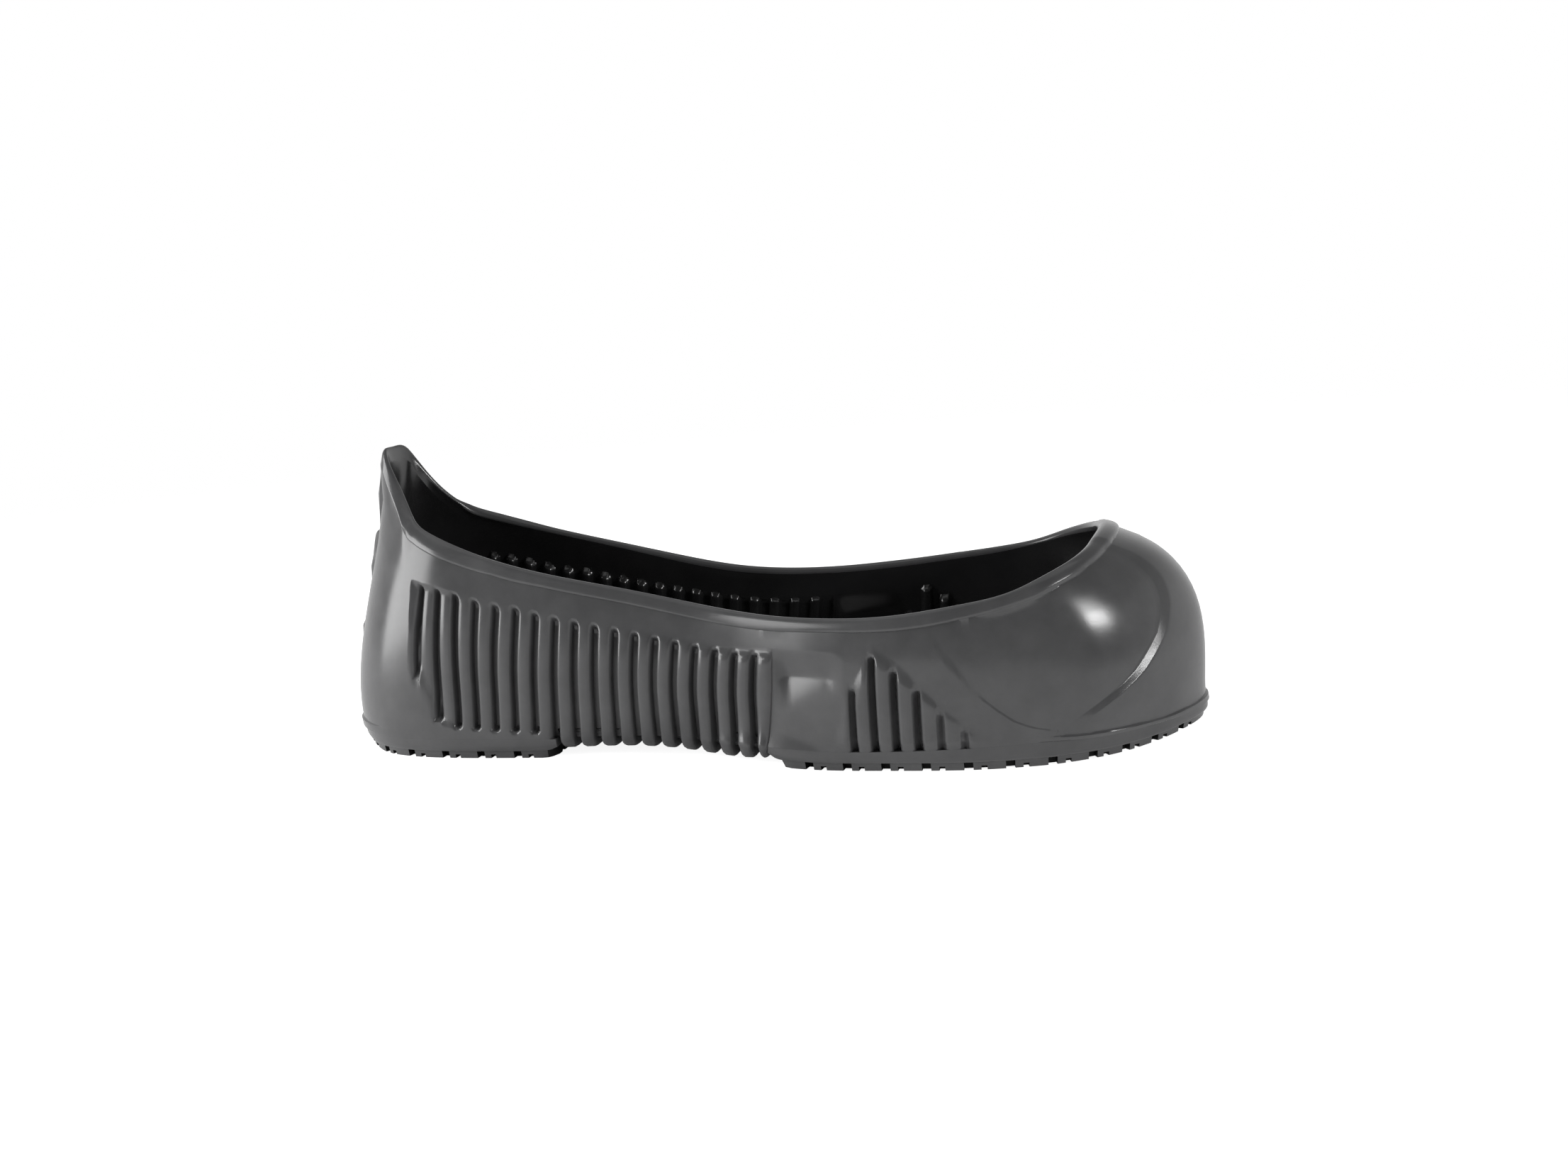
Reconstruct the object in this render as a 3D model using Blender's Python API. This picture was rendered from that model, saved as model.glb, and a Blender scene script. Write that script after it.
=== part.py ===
"""Pull-on rubber overshoe: a ribbed upper with an open collar, a forefoot sole and a heel sole.

Sizes are millimetres here and metres in the meshes. +X is the toe and +Z is up. The shoe is the same on both
sides of the plane y = 0, so the tables describe one half.
"""
import bmesh
import bpy
import numpy as np

MM = 0.001

# Walls and clearances
WALL = 2.4              # rubber of the upper
TAB_RIDGE = 1.0         # height of the ridge along the heel tab's edge
TAB_RUN = 8.0           # height below the ridge in which it runs out
TAB_THIN = 1.0          # how much thinner the tab's rim is
TAB_END = (-120, -111)  # places between which the ridge runs out
GAP = 0.3               # clearance where two pieces meet
SHORTEST_EDGE = 0.02    # vertices nearer than this are one vertex
TINY = 1e-6             # rounding error

# Collar band, a step along the rim
BAND_STEP = 0.9         # how far it stands proud along the sides
BAND_STEP_TOE = 1.5     # and over the toe
BAND_EDGE = 0.8         # height of the slope under the band
BAND_SWELL = (90, 150)  # places between which it grows to its height over the toe
BAND_START = (-121, -114)   # places between which it begins below the tab

# Side ribs: vertical grooves pressed into the wall, so that they show as bumps inside
RIB_COUNT = 18
RIB_FIRST = -104.1
RIB_PITCH = 6.93
RIB_DEPTH = 2.6
RIB_HALF = 1.6          # half width of a groove at the wall's face
RIB_END = 2.5           # length over which a groove runs out
RIB_PROUD = 1.5         # how far the front ribs stand out of the waist
RIB_SWELL = (-60, 5)    # places between which they rise to that
PANEL_STEP = 0.8        # width of the step at the front end of the ribbed panel
# Front edge of the ribbed panel, which leans: share of the wall's height, along
PANEL_EDGE = ((0, 16.2), (0.5, 18.8), (0.88, 20.2), (1, 20.4))
PANEL_END = PANEL_EDGE[0][1]

# Ball fan: shorter grooves of falling height
FAN_FIRST = 45.0
FAN_PITCH = 6.63
FAN_HALF = 1.5
FAN_LEAN = 1.8          # how far the grooves lean to the toe over the whole height of the wall
FAN_TOPS = (21.4, 31.4, 27.6, 21.8, 14.8, 9.2)     # rise of each groove's top over the foot of the wall
BUMP_SHARE = 0.8        # share of a groove's depth that shows inside

# Toe: a sunk side panel between the front bumper and the quarter, and a strip around the foot of the wall
TOE_SINK = 0.8
TOE_EDGE = 0.8          # half width of the slope along the bumper's edge
TOE_SOFT = 9.0          # width of the slope along the panel's rear edge
STRIP_TOP = 3.1
STRIP_SLOPE = 0.9
STRIP_PROUD = 0.6
STRIP_TOE = (96, 112)       # places between which the strip grows in front
STRIP_HEEL = (-146, -128)   # places between which it dies out behind

# Arch floor, which joins both walls under the waist
ARCH_REAR = -56.6       # place along the outline where the floor begins
ARCH_ROUND = 6.0        # width of the round from wall to floor
ARCH_TOP = 7.4          # its top inside the shoe
ARCH_FILLET = 3.0
ARCH_GROOVE = 1.5       # depth of the grooves under the floor

# Soles
SOLE_BULGE = 0.3
SOLE_BULGE_DROP = 1.6   # height below the top edge where the side stands out most
SOLE_STEP = 7.0         # spacing of the sections
TREAD_DEPTH = 2.5       # height of the lugs
TREAD_INSET = 0.4       # side drawn in at the root of the lugs
LUG_INSET = 1.5         # and at their tips
BREAST_RUN = 4.9        # length of the slope at the heel's breast
FORE_RUNS = (2.4, 4.8)  # places of the bend at the rear end of the forefoot sole
END_RUN = 9.0           # length of the first section behind those slopes
LUG_GAP = 2.4
LUG_PITCH_SIDE = 13.2   # lugs across the sole
LUGS_ACROSS = 10
LUG_MARGIN = 12.0       # how far the gaps run past the outline

# Mesh of the upper
HEEL_COLUMNS = 8
BETWEEN_COLUMNS = 3
QUARTER_COLUMNS = 7
BUMPER_COLUMNS = 10
# Rows of the side, as shares of its height between foot strip and rib tops
MIDDLE_ROWS = (0.78, 0.52, 0.26)
SPARE_INNER_ROWS = (1, 2, 8, 9)     # rows that the smooth inner face can do without

# Rubber: colour, roughness
UPPER_RUBBER = ((0.09, 0.09, 0.092), 0.2)
SOLE_RUBBER = ((0.09, 0.09, 0.092), 0.45)

# Sections of the wall. "along" is the place along the outline, the same as x on the straight side. Each point
# is (x, half width, z), from the foot of the wall, over two places on its side, to the rim.
# name, along, foot, low, high, rim
SECTIONS = (
    ("heel back", -160, (-145.8, 0.0, 7.2), (-142.2, 0.0, 39), (-132.8, 0.0, 72), (-125.3, 0.0, 104.5)),
    ("tab corner", -146, (-143.0, 11.6, 7.1), (-139.7, 11.5, 38), (-130.5, 9.0, 71), (-123.9, 8.8, 102.9)),
    ("heel round", -132, (-134.0, 22.7, 7.0), (-131.4, 22.5, 36), (-124.0, 18.8, 67), (-117.2, 12.6, 91.8)),
    ("heel corner", -116, (-120.5, 30.5, 7.0), (-118.5, 30.4, 33), (-113.8, 27.2, 62), (-109.0, 19.6, 80.5)),
    ("heel side", -100, (-104.0, 33.7, 7.0), (-102.0, 34.0, 29), (-100.5, 32.3, 57), (-98.5, 25.0, 75.0)),
    ("counter", -80, (-84.0, 34.8, 7.0), (-82.2, 35.2, 26), (-80.7, 34.3, 49), (-78.5, 30.5, 68.1)),
    ("rear waist", -60, (-63.5, 35.2, 7.0), (-62.0, 36.2, 24), (-60.5, 35.4, 44), (-58.5, 32.4, 62.6)),
    ("waist", -35, (-37.5, 35.0, 7.0), (-36.5, 36.6, 22), (-35.5, 36.0, 40), (-34.5, 30.6, 57.0)),
    ("front waist", -10, (-11.5, 36.0, 7.0), (-11.0, 37.3, 20), (-10.3, 37.3, 36), (-10.0, 31.6, 51.6)),
    ("flare", 15, (14.5, 45.0, 6.8), (14.8, 43.3, 19), (15.0, 43.2, 34), (15.0, 39.3, 48.4)),
    ("rear ball", 40, (40.0, 50.6, 6.4), (40.0, 51.2, 20), (40.0, 51.3, 35), (40.0, 47.0, 48.0)),
    ("ball", 60, (60.0, 51.5, 6.7), (60.0, 54.0, 20), (60.0, 54.6, 35), (60.0, 51.0, 49.2)),
    ("front ball", 80, (81.0, 51.0, 7.3), (81.0, 53.5, 21), (80.5, 53.5, 37), (79.0, 49.6, 51.5)),
    ("toe joint", 100, (101.5, 47.0, 7.8), (102.0, 50.0, 22), (99.5, 49.0, 41), (93.5, 47.0, 54.0)),
    ("toe side", 118, (118.9, 40.6, 7.9), (120.5, 43.5, 23), (116.0, 42.3, 44), (104.0, 41.0, 57.8)),
    ("toe round", 134, (130.9, 32.0, 8.0), (132.5, 34.0, 24), (127.8, 32.8, 46), (110.9, 33.4, 60.5)),
    ("toe corner", 148, (140.3, 22.0, 8.0), (141.3, 23.5, 25), (136.2, 22.6, 48), (115.0, 23.4, 62.5)),
    ("toe front", 160, (147.0, 11.0, 8.1), (147.3, 11.8, 26), (142.0, 11.5, 49), (117.1, 12.4, 64.2)),
    ("toe tip", 173, (149.9, 0.0, 8.2), (149.9, 0.0, 26), (144.4, 0.0, 49), (118.2, 0.0, 65.0)),
)

# Height of the collar band, and drop of the ridge on the tab: along, height
BAND = ((-160, 4.7), (-143, 4.9), (-139, 6.1), (-133.7, 6.7), (-126, 7.5), (-121, 8.6), (-115, 10.6),
        (-100, 10.2), (-78, 6.1), (-61, 5.0), (80, 5.0), (92, 5.7), (108, 6.9), (124, 6.0), (134, 5.0),
        (150, 4.4), (173, 4.0))
# Rib tops below the rim: along, drop
RIB_TOP = ((-160, 30.0), (-104, 21.8), (-90, 17.8), (-70, 13.3), (14, 11.2), (60, 11.4), (173, 14.0))
# Rise of the bottom ends of the heel side's grooves: along, rise
RIB_BOTTOM = ((-104.1, 21.0), (-97.2, 7.6), (-90.2, 4.6), (-76.4, 2.6), (-62.5, 1.6), (-60.0, -9.0))
# How far the lower ends of the grooves lie towards the heel: along, distance
RIB_LEAN = ((-125, 0.0), (-104.1, 3.0), (-90.2, 2.1), (-69.5, 1.3), (-55.59, 1.0), (-40, 0.7),
            (-15, 1.6), (14, 1.8))
LEAN_SHARES = (0.35, 0.85)  # shares of the wall's height between which the grooves lean
# Front edge and rear edge of the sunk toe panel: share of the wall's height, along
TOE_FRONT = ((0.10, 107.6), (0.20, 112.4), (0.28, 120.0), (0.365, 131.4), (0.50, 144.0), (0.60, 149.4),
             (0.70, 152.2), (1.00, 153.0))
TOE_REAR = ((0.10, 106.0), (0.15, 98.2), (0.20, 93.1), (0.29, 88.1), (0.43, 81.7), (0.62, 76.0), (1.00, 66.0))
# Underside of the arch floor: x, z
ARCH_UNDER = ((-57, 2.8), (-44, 3.5), (-32, 3.8), (-20, 3.4), (-7, 2.5), (4, 2.2), (13.5, 3.0), (15.2, 3.8),
              (16.2, 5.6))
# Underside of the plate where the lugs begin, lifted at heel, ends and toe: x, z
HEEL_ROOT = ((-146, 4.7), (-136, 3.1), (-130, 2.5), (-65, 2.5), (-62, 3.1), (-60, 4.0), (-58.9, 4.7))
FORE_ROOT = ((16.2, 4.4), (17.2, 3.5), (18.6, 2.9), (20.4, 2.6), (24, 2.5), (104, 2.5), (128, 3.3),
             (140, 4.2), (150, 5.1))
# Height of the lugs: x, height
HEEL_LUGS = ((-146, 2.2), (-130, 2.5), (-63.5, 2.5), (-60.5, 0.1))
FORE_LUGS = ((19.6, 0.1), (21.0, 2.5), (104, 2.5), (150, 2.0))
# Gaps across the sole: first gap, pitch, count
HEEL_GAPS = (-129.5, 13.5, 5)
FORE_GAPS = (29.5, 12.3, 9)

ALONG = np.array([row[1] for row in SECTIONS], dtype=float)
POINTS = np.array([np.ravel(row[2:]) for row in SECTIONS], dtype=float)
LEVELS = 4
HEEL_BACK = ALONG[0]
TOE_TIP = ALONG[-1]
MIDDLE = (POINTS[0, 0] + POINTS[-1, 0]) / 2     # x of the middle of the length, which becomes the origin
DIAGONAL = np.sqrt(0.5)


def spline(knots, values, at):
    """Natural cubic spline through the rows of values, read at each place in the array at."""
    steps = np.diff(knots)
    system = np.eye(len(knots))
    bends = np.zeros_like(values)
    for i in range(1, len(knots) - 1):
        system[i, i - 1:i + 2] = (steps[i - 1], 2 * (steps[i - 1] + steps[i]), steps[i])
        bends[i] = 6 * ((values[i + 1] - values[i]) / steps[i] - (values[i] - values[i - 1]) / steps[i - 1])
    bends = np.linalg.solve(system, bends)
    k = np.clip(np.searchsorted(knots, at) - 1, 0, len(knots) - 2)
    width = steps[k][:, None]
    p = (knots[k + 1] - at)[:, None] / width
    q = 1 - p
    curve = (p ** 3 - p) * bends[k] + (q ** 3 - q) * bends[k + 1]
    return p * values[k] + q * values[k + 1] + width * width / 6 * curve


def mirrored_sections(extra=3):
    """The section table with its mirror image past both ends, so the wall crosses the middle smoothly."""
    flip = np.tile((1, -1, 1), LEVELS)
    knots = np.concatenate([2 * HEEL_BACK - ALONG[extra:0:-1], ALONG, 2 * TOE_TIP - ALONG[-2:-2 - extra:-1]])
    values = np.concatenate([POINTS[extra:0:-1] * flip, POINTS, POINTS[-2:-2 - extra:-1] * flip])
    return knots, values


KNOTS, VALUES = mirrored_sections()


def section_points(along):
    """The four points of the wall's section at each place, as an array (places, levels, xyz)."""
    return spline(KNOTS, VALUES, along).reshape(-1, LEVELS, 3)


def wall(along, share):
    """Points on the near wall's face, at each place along the outline and share of its height."""
    s = share
    weights = ((1 - 3 * s) * (2 - 3 * s) * (1 - s) / 2, 4.5 * s * (2 - 3 * s) * (1 - s),
               4.5 * s * (3 * s - 1) * (1 - s), s * (3 * s - 1) * (3 * s - 2) / 2)
    levels = section_points(along)
    points = sum(weights[i][:, None] * levels[:, i] for i in range(LEVELS))
    return points * (1, -1, 1)


def wall_normal(along, share, du=0.5, ds=0.01):
    """Outward unit normals of the near wall."""
    round_it = wall(along + du, share) - wall(along - du, share)
    up_it = wall(along, share + ds) - wall(along, share - ds)
    normal = np.cross(round_it, up_it)
    return normal / np.linalg.norm(normal, axis=1)[:, None]


def wall_height(along):
    """Length of the wall's section from foot to rim."""
    return np.linalg.norm(np.diff(section_points(along), axis=1), axis=2).sum(axis=1)


def read(table, at):
    """Straight-line reading of a two-column table."""
    columns = np.array(table, dtype=float).T
    return np.interp(at, columns[0], columns[1])


def ramp(value, start, end):
    """0 before start, 1 after end, smooth between them."""
    t = np.clip((value - start) / (end - start), 0, 1)
    return t * t * (3 - 2 * t)


def rib_lean(place, share):
    """How far a groove has moved towards the heel at a share of the wall's height."""
    return read(RIB_LEAN, place) * (1 - ramp(share, *LEAN_SHARES))


def upright(along, share):
    """Place where the line that runs through a point and leans with the grooves tops out."""
    place = along
    for _ in range(4):
        place = along + rib_lean(place, share)
    return place


def groove(along, first, pitch, count, half):
    """1 at the bottom of the nearest of a row of V grooves, 0 outside it, and that groove's number."""
    number = np.clip(np.round((along - first) / pitch), 0, count - 1).astype(int)
    away = np.abs(along - first - number * pitch)
    return np.clip(1 - away / half, 0, 1), number


def groove_depth(along, share):
    """Depth of the side ribs and of the ball fan at each point of the wall."""
    height = wall_height(along)
    rise = share * height
    top = height - read(RIB_TOP, along)
    place = upright(along, share)
    rib, _ = groove(place, RIB_FIRST, RIB_PITCH, RIB_COUNT, RIB_HALF)
    bottom = read(RIB_BOTTOM, place)
    rib = rib * ramp(rise, bottom - RIB_END, bottom + RIB_END) * (1 - ramp(rise, top - RIB_END, top))
    fan, number = groove(along - FAN_LEAN * share, FAN_FIRST, FAN_PITCH, len(FAN_TOPS), FAN_HALF)
    fan_top = np.array(FAN_TOPS)[number]
    fan = fan * (1 - ramp(rise, fan_top - RIB_END, fan_top + RIB_END))
    return RIB_DEPTH * np.maximum(rib, fan)


def raised_panel(along, share):
    """How far the front part of the ribbed panel stands out of the waist."""
    height = wall_height(along)
    top = height - read(RIB_TOP, along)
    edge = read(PANEL_EDGE, share)
    lengthwise = ramp(along, *RIB_SWELL) * (1 - ramp(along, edge - PANEL_STEP, edge))
    return RIB_PROUD * lengthwise * (1 - ramp(share * height, top - RIB_END, top))


def toe_panel(along, share):
    """1 inside the sunk panel on the side of the toe."""
    above = ramp(share * wall_height(along), STRIP_TOP, STRIP_TOP + STRIP_SLOPE)
    front = 1 - ramp(along, read(TOE_FRONT, share) - TOE_EDGE, read(TOE_FRONT, share) + TOE_EDGE)
    rear = ramp(along, read(TOE_REAR, share), read(TOE_REAR, share) + TOE_SOFT)
    return above * front * rear


def foot_strip(along, share):
    """1 on the strip around the foot of the wall, at toe and heel."""
    place = ramp(along, *STRIP_TOE) + 1 - ramp(along, *STRIP_HEEL)
    rise = share * wall_height(along)
    return place * (1 - ramp(rise, STRIP_TOP, STRIP_TOP + STRIP_SLOPE))


def collar_band(along, share):
    """1 on the band along the rim."""
    drop = (1 - share) * wall_height(along)
    band = read(BAND, along)
    return ramp(along, *BAND_START) * (1 - ramp(drop, band - BAND_EDGE, band))


def tab_edge(along, share):
    """Relief of the ridge along the tab's edge, and how far the inner face comes out to the thin rim."""
    drop = (1 - share) * wall_height(along)
    band = read(BAND, along)
    tab = 1 - ramp(along, *TAB_END)
    ridge = np.minimum(drop / band, 1 - ramp(drop, band, band + TAB_RUN))
    return TAB_RIDGE * tab * ridge, TAB_THIN * tab * np.clip(1 - drop / band, 0, 1)


def level_foot(points, along, share):
    """Put the foot of a face back on the level where the sole meets it."""
    at_foot = share < TINY
    points[at_foot, 2] = wall(along[at_foot], share[at_foot])[:, 2]
    return points


def outer_face(along, share):
    """The wall's outer face with its steps and grooves."""
    step = BAND_STEP + (BAND_STEP_TOE - BAND_STEP) * ramp(along, *BAND_SWELL)
    relief = step * collar_band(along, share) + STRIP_PROUD * foot_strip(along, share)
    relief += tab_edge(along, share)[0]
    relief += raised_panel(along, share) - TOE_SINK * toe_panel(along, share) - groove_depth(along, share)
    return level_foot(wall(along, share) + wall_normal(along, share) * relief[:, None], along, share)


def inner_face(along, share):
    """The wall's inner face, with a bump behind each groove."""
    depth = WALL + BUMP_SHARE * groove_depth(along, share)
    depth -= raised_panel(along, share) + tab_edge(along, share)[1]
    return level_foot(wall(along, share) - wall_normal(along, share) * depth[:, None], along, share)


def columns_at(share):
    """Places along the outline where the upper's mesh has a column, at one share of the wall's height."""
    heel = np.linspace(HEEL_BACK, RIB_FIRST - 2 * RIB_HALF, HEEL_COLUMNS)
    side = np.array((-RIB_HALF, 0, RIB_HALF))
    ribs = (RIB_FIRST + RIB_PITCH * np.arange(RIB_COUNT)[:, None] + side).ravel()
    heel = heel - rib_lean(heel, share)
    ribs = ribs - rib_lean(ribs, share)
    side = np.array((-FAN_HALF, 0, FAN_HALF)) + FAN_LEAN * share
    fan = (FAN_FIRST + FAN_PITCH * np.arange(len(FAN_TOPS))[:, None] + side).ravel()
    edge = read(PANEL_EDGE, share)
    between = np.linspace(edge, fan[0], BETWEEN_COLUMNS + 2)[:-1]
    front = read(TOE_FRONT, share)
    quarter = np.linspace(fan[-1], front - TOE_EDGE, QUARTER_COLUMNS + 1)[1:]
    bumper = np.linspace(front + TOE_EDGE, TOE_TIP, BUMPER_COLUMNS)
    return np.concatenate([heel, ribs, [edge - PANEL_STEP], between, fan, quarter, bumper])


def row_shares(along):
    """Shares of the wall's height at the mesh's rows, from the rim down to the foot."""
    height = wall_height(along)
    band = read(BAND, along)
    rib_top = read(RIB_TOP, along)
    low = STRIP_TOP + STRIP_SLOPE
    full = height - rib_top - RIB_END
    rises = [height, height - band + BAND_EDGE, height - band, height - rib_top, full]
    rises += [low + part * (full - low) for part in MIDDLE_ROWS]
    rises += [low + 0 * height, STRIP_TOP + 0 * height, 0 * height]
    return np.array([rise / height for rise in rises])


NOMINAL = columns_at(0.5)
FOOT = columns_at(0.0)
EDGE_COLUMN = HEEL_COLUMNS + 3 * RIB_COUNT + 1      # column on the front edge of the ribbed panel
ROWS = row_shares(NOMINAL)
FOOT_ROW = len(ROWS) - 1


def wall_rows(face):
    """One face of the wall as an array (rows, columns, xyz)."""
    grid = []
    for shares in ROWS:
        along = np.array([columns_at(share)[i] for i, share in enumerate(shares)])
        points = face(along, shares)
        points[0, 1] = 0
        points[-1, 1] = 0
        grid.append(points)
    return np.array(grid)


def floor_rows(outside):
    """The arch floor's rows from the round at the wall to the middle, below or above."""
    foot = section_points(FOOT)[:, 0]
    rib, _ = groove(upright(FOOT, 0 * FOOT), RIB_FIRST, RIB_PITCH, RIB_COUNT, RIB_HALF)
    edge = foot[:, 1] - ARCH_ROUND
    if outside:
        proud = raised_panel(FOOT, 0 * FOOT) - ARCH_GROOVE * rib
        under = read(ARCH_UNDER, foot[:, 0])
        middle_round = foot[:, 1] - ARCH_ROUND * (1 - DIAGONAL) + proud * DIAGONAL
        round_z = foot[:, 2] - (foot[:, 2] - under) * DIAGONAL - proud * DIAGONAL
        half_widths = (middle_round, edge, edge / 2, 0 * edge)
        heights = (round_z, under + ARCH_GROOVE * rib, under + ARCH_GROOVE * rib, under + ARCH_GROOVE * rib)
    else:
        corner = foot[:, 1] - WALL - ARCH_FILLET * (1 - DIAGONAL)
        half_widths = (corner, edge, edge / 2, 0 * edge)
        flat = np.full_like(edge, ARCH_TOP)
        heights = (flat + ARCH_FILLET * (1 - DIAGONAL), flat, flat, flat)
    return np.array([np.stack([foot[:, 0], -w, z], axis=1) for w, z in zip(half_widths, heights)])


def whole_grid(outside):
    """All rows of a face: near rim, near foot, middle of the floor, far foot and far rim."""
    rows = wall_rows(outer_face if outside else inner_face)
    if not outside:
        arch = in_arch(np.arange(len(NOMINAL)))
        rows[FOOT_ROW, arch, 2] = ARCH_TOP + ARCH_FILLET
    half = np.concatenate([rows, floor_rows(outside)])
    far = half[-2::-1] * (1, -1, 1)
    grid = np.concatenate([half, far])
    grid[:, :, 0] -= MIDDLE
    return grid * MM


def in_arch(column):
    """True for the columns that the arch floor joins."""
    return (FOOT[column] > ARCH_REAR - TINY) & (column <= EDGE_COLUMN)


def rubber(name, colour, roughness):
    """A moulded rubber material."""
    material = bpy.data.materials.new(name)
    material.use_nodes = True
    shader = material.node_tree.nodes["Principled BSDF"]
    shader.inputs["Base Color"].default_value = (*colour, 1)
    shader.inputs["Roughness"].default_value = roughness
    shader.inputs["Metallic"].default_value = 0
    return material


def finish(name, bm, material, sharp=0.6):
    """Turn a bmesh into a smooth-shaded object with its material."""
    bmesh.ops.recalc_face_normals(bm, faces=bm.faces)
    mesh = bpy.data.meshes.new(name)
    bm.to_mesh(mesh)
    bm.free()
    mesh.shade_smooth()
    mesh.set_sharp_from_angle(angle=sharp)
    mesh.materials.append(material)
    piece = bpy.data.objects.new(name, mesh)
    bpy.context.scene.collection.objects.link(piece)
    return piece


def grid_mesh(columns, rows):
    """A plain grid whose vertices carry their column and row as integer layers."""
    bm = bmesh.new()
    bmesh.ops.create_grid(bm, x_segments=columns - 1, y_segments=rows - 1, size=1)
    column = bm.verts.layers.int.new("column")
    row = bm.verts.layers.int.new("row")
    for vert in bm.verts:
        vert[column] = round((vert.co.x + 1) / 2 * (columns - 1))
        vert[row] = round((vert.co.y + 1) / 2 * (rows - 1))
    return bm, column, row


def upper(material):
    """Outer face as one sheet, open at heel and forefoot below, then a wall grown to the inner face."""
    outside = whole_grid(True)
    inside = whole_grid(False)
    last_row = len(outside) - 1
    bm, column, row = grid_mesh(len(NOMINAL), len(outside))
    for vert in bm.verts:
        vert.co = outside[vert[row], vert[column]]
    open_floor = []
    for face in bm.faces:
        rows = [min(vert[row], last_row - vert[row]) for vert in face.verts]
        if max(rows) > FOOT_ROW and not all(in_arch(vert[column]) for vert in face.verts):
            open_floor.append(face)
    bmesh.ops.delete(bm, geom=open_floor, context="FACES")
    bmesh.ops.remove_doubles(bm, verts=bm.verts, dist=SHORTEST_EDGE * MM)
    grown = bmesh.ops.extrude_face_region(bm, geom=bm.faces[:], use_keep_orig=True)["geom"]
    inner_verts = {item for item in grown if isinstance(item, bmesh.types.BMVert)}
    for vert in inner_verts:
        vert.co = inside[vert[row], vert[column]]
    spare = []
    for edge in bm.edges:
        first, second = edge.verts
        level = min(first[row], last_row - first[row])
        same_row = level == min(second[row], last_row - second[row])
        if same_row and level in SPARE_INNER_ROWS and first in inner_verts and second in inner_verts:
            spare.append(edge)
    bmesh.ops.dissolve_edges(bm, edges=spare, use_verts=True)
    return finish("upper", bm, material)


def outline(along):
    """Foot of the wall on the near side, with its level outward direction."""
    foot = 0 * along
    normal = wall_normal(along, foot) * (1, 1, 0)
    return wall(along, foot), normal / np.linalg.norm(normal, axis=1)[:, None]


def sole(name, along, root, lugs, material):
    """A sole unit: sections across the shoe between two places along the outline, closed at its cut end."""
    foot, outward = outline(along)
    top = foot[:, 2] - GAP
    under = read(root, foot[:, 0])
    levels = []
    for offset, height in ((0, top), (SOLE_BULGE, top - SOLE_BULGE_DROP), (-TREAD_INSET, under)):
        points = foot + outward * offset
        points[:, 2] = height
        levels.append(points)
    bottom = foot - outward * LUG_INSET
    bottom[:, 2] = under - read(lugs, foot[:, 0])
    levels.append(bottom)
    near = np.array(levels)
    near[np.abs(near) < TINY] = 0
    far = near[::-1] * (1, -1, 1)
    loop = np.concatenate([near, far, near[:1]])
    loop[:, :, 0] -= MIDDLE
    bm, column, row = grid_mesh(len(along), len(loop))
    for vert in bm.verts:
        vert.co = loop[vert[row], vert[column]] * MM
    bmesh.ops.remove_doubles(bm, verts=bm.verts, dist=SHORTEST_EDGE * MM)
    bmesh.ops.holes_fill(bm, edges=[edge for edge in bm.edges if edge.is_boundary])
    return finish(name, bm, material)


def gap_lattice(name, gaps, root):
    """Cutter for the tread: crossing bars that leave the lugs standing between them."""
    first, pitch, count = gaps
    centres = first - MIDDLE + pitch * np.arange(count)
    lengthwise = np.sort(np.concatenate([centres - LUG_GAP / 2, centres + LUG_GAP / 2]))
    ends = (centres[0] - pitch - LUG_MARGIN, centres[-1] + pitch + LUG_MARGIN)
    lengthwise = np.concatenate([ends[:1], lengthwise, ends[1:]])
    centres = LUG_PITCH_SIDE * (np.arange(LUGS_ACROSS) - (LUGS_ACROSS - 1) / 2)
    across = np.sort(np.concatenate([centres - LUG_GAP / 2, centres + LUG_GAP / 2]))
    bm, column, row = grid_mesh(len(lengthwise), len(across))
    lugs = []
    for face in bm.faces:
        first_column = min(vert[column] for vert in face.verts)
        first_row = min(vert[row] for vert in face.verts)
        if first_column % 2 == 0 and first_row % 2 == 1:
            lugs.append(face)
    for vert in bm.verts:
        vert.co = (lengthwise[vert[column]] * MM, across[vert[row]] * MM, -TREAD_DEPTH * MM)
    bmesh.ops.delete(bm, geom=lugs, context="FACES")
    grown = bmesh.ops.extrude_face_region(bm, geom=bm.faces[:], use_keep_orig=True)["geom"]
    for vert in grown:
        if isinstance(vert, bmesh.types.BMVert):
            vert.co.z = float(read(root, lengthwise[vert[column]] + MIDDLE)) * MM
    cutter = finish(name, bm, bpy.data.materials.new(name))
    cutter.hide_render = True
    cutter.display_type = "WIRE"
    return cutter


def cut_lugs(piece, cutter):
    """Cut the gaps between the lugs out of a sole."""
    cut = piece.modifiers.new("lugs", "BOOLEAN")
    cut.operation = "DIFFERENCE"
    cut.solver = "EXACT"
    cut.object = cutter


def places(start, end):
    """Evenly spaced places along the outline."""
    return np.linspace(start, end, 1 + round(abs(end - start) / SOLE_STEP))


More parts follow.
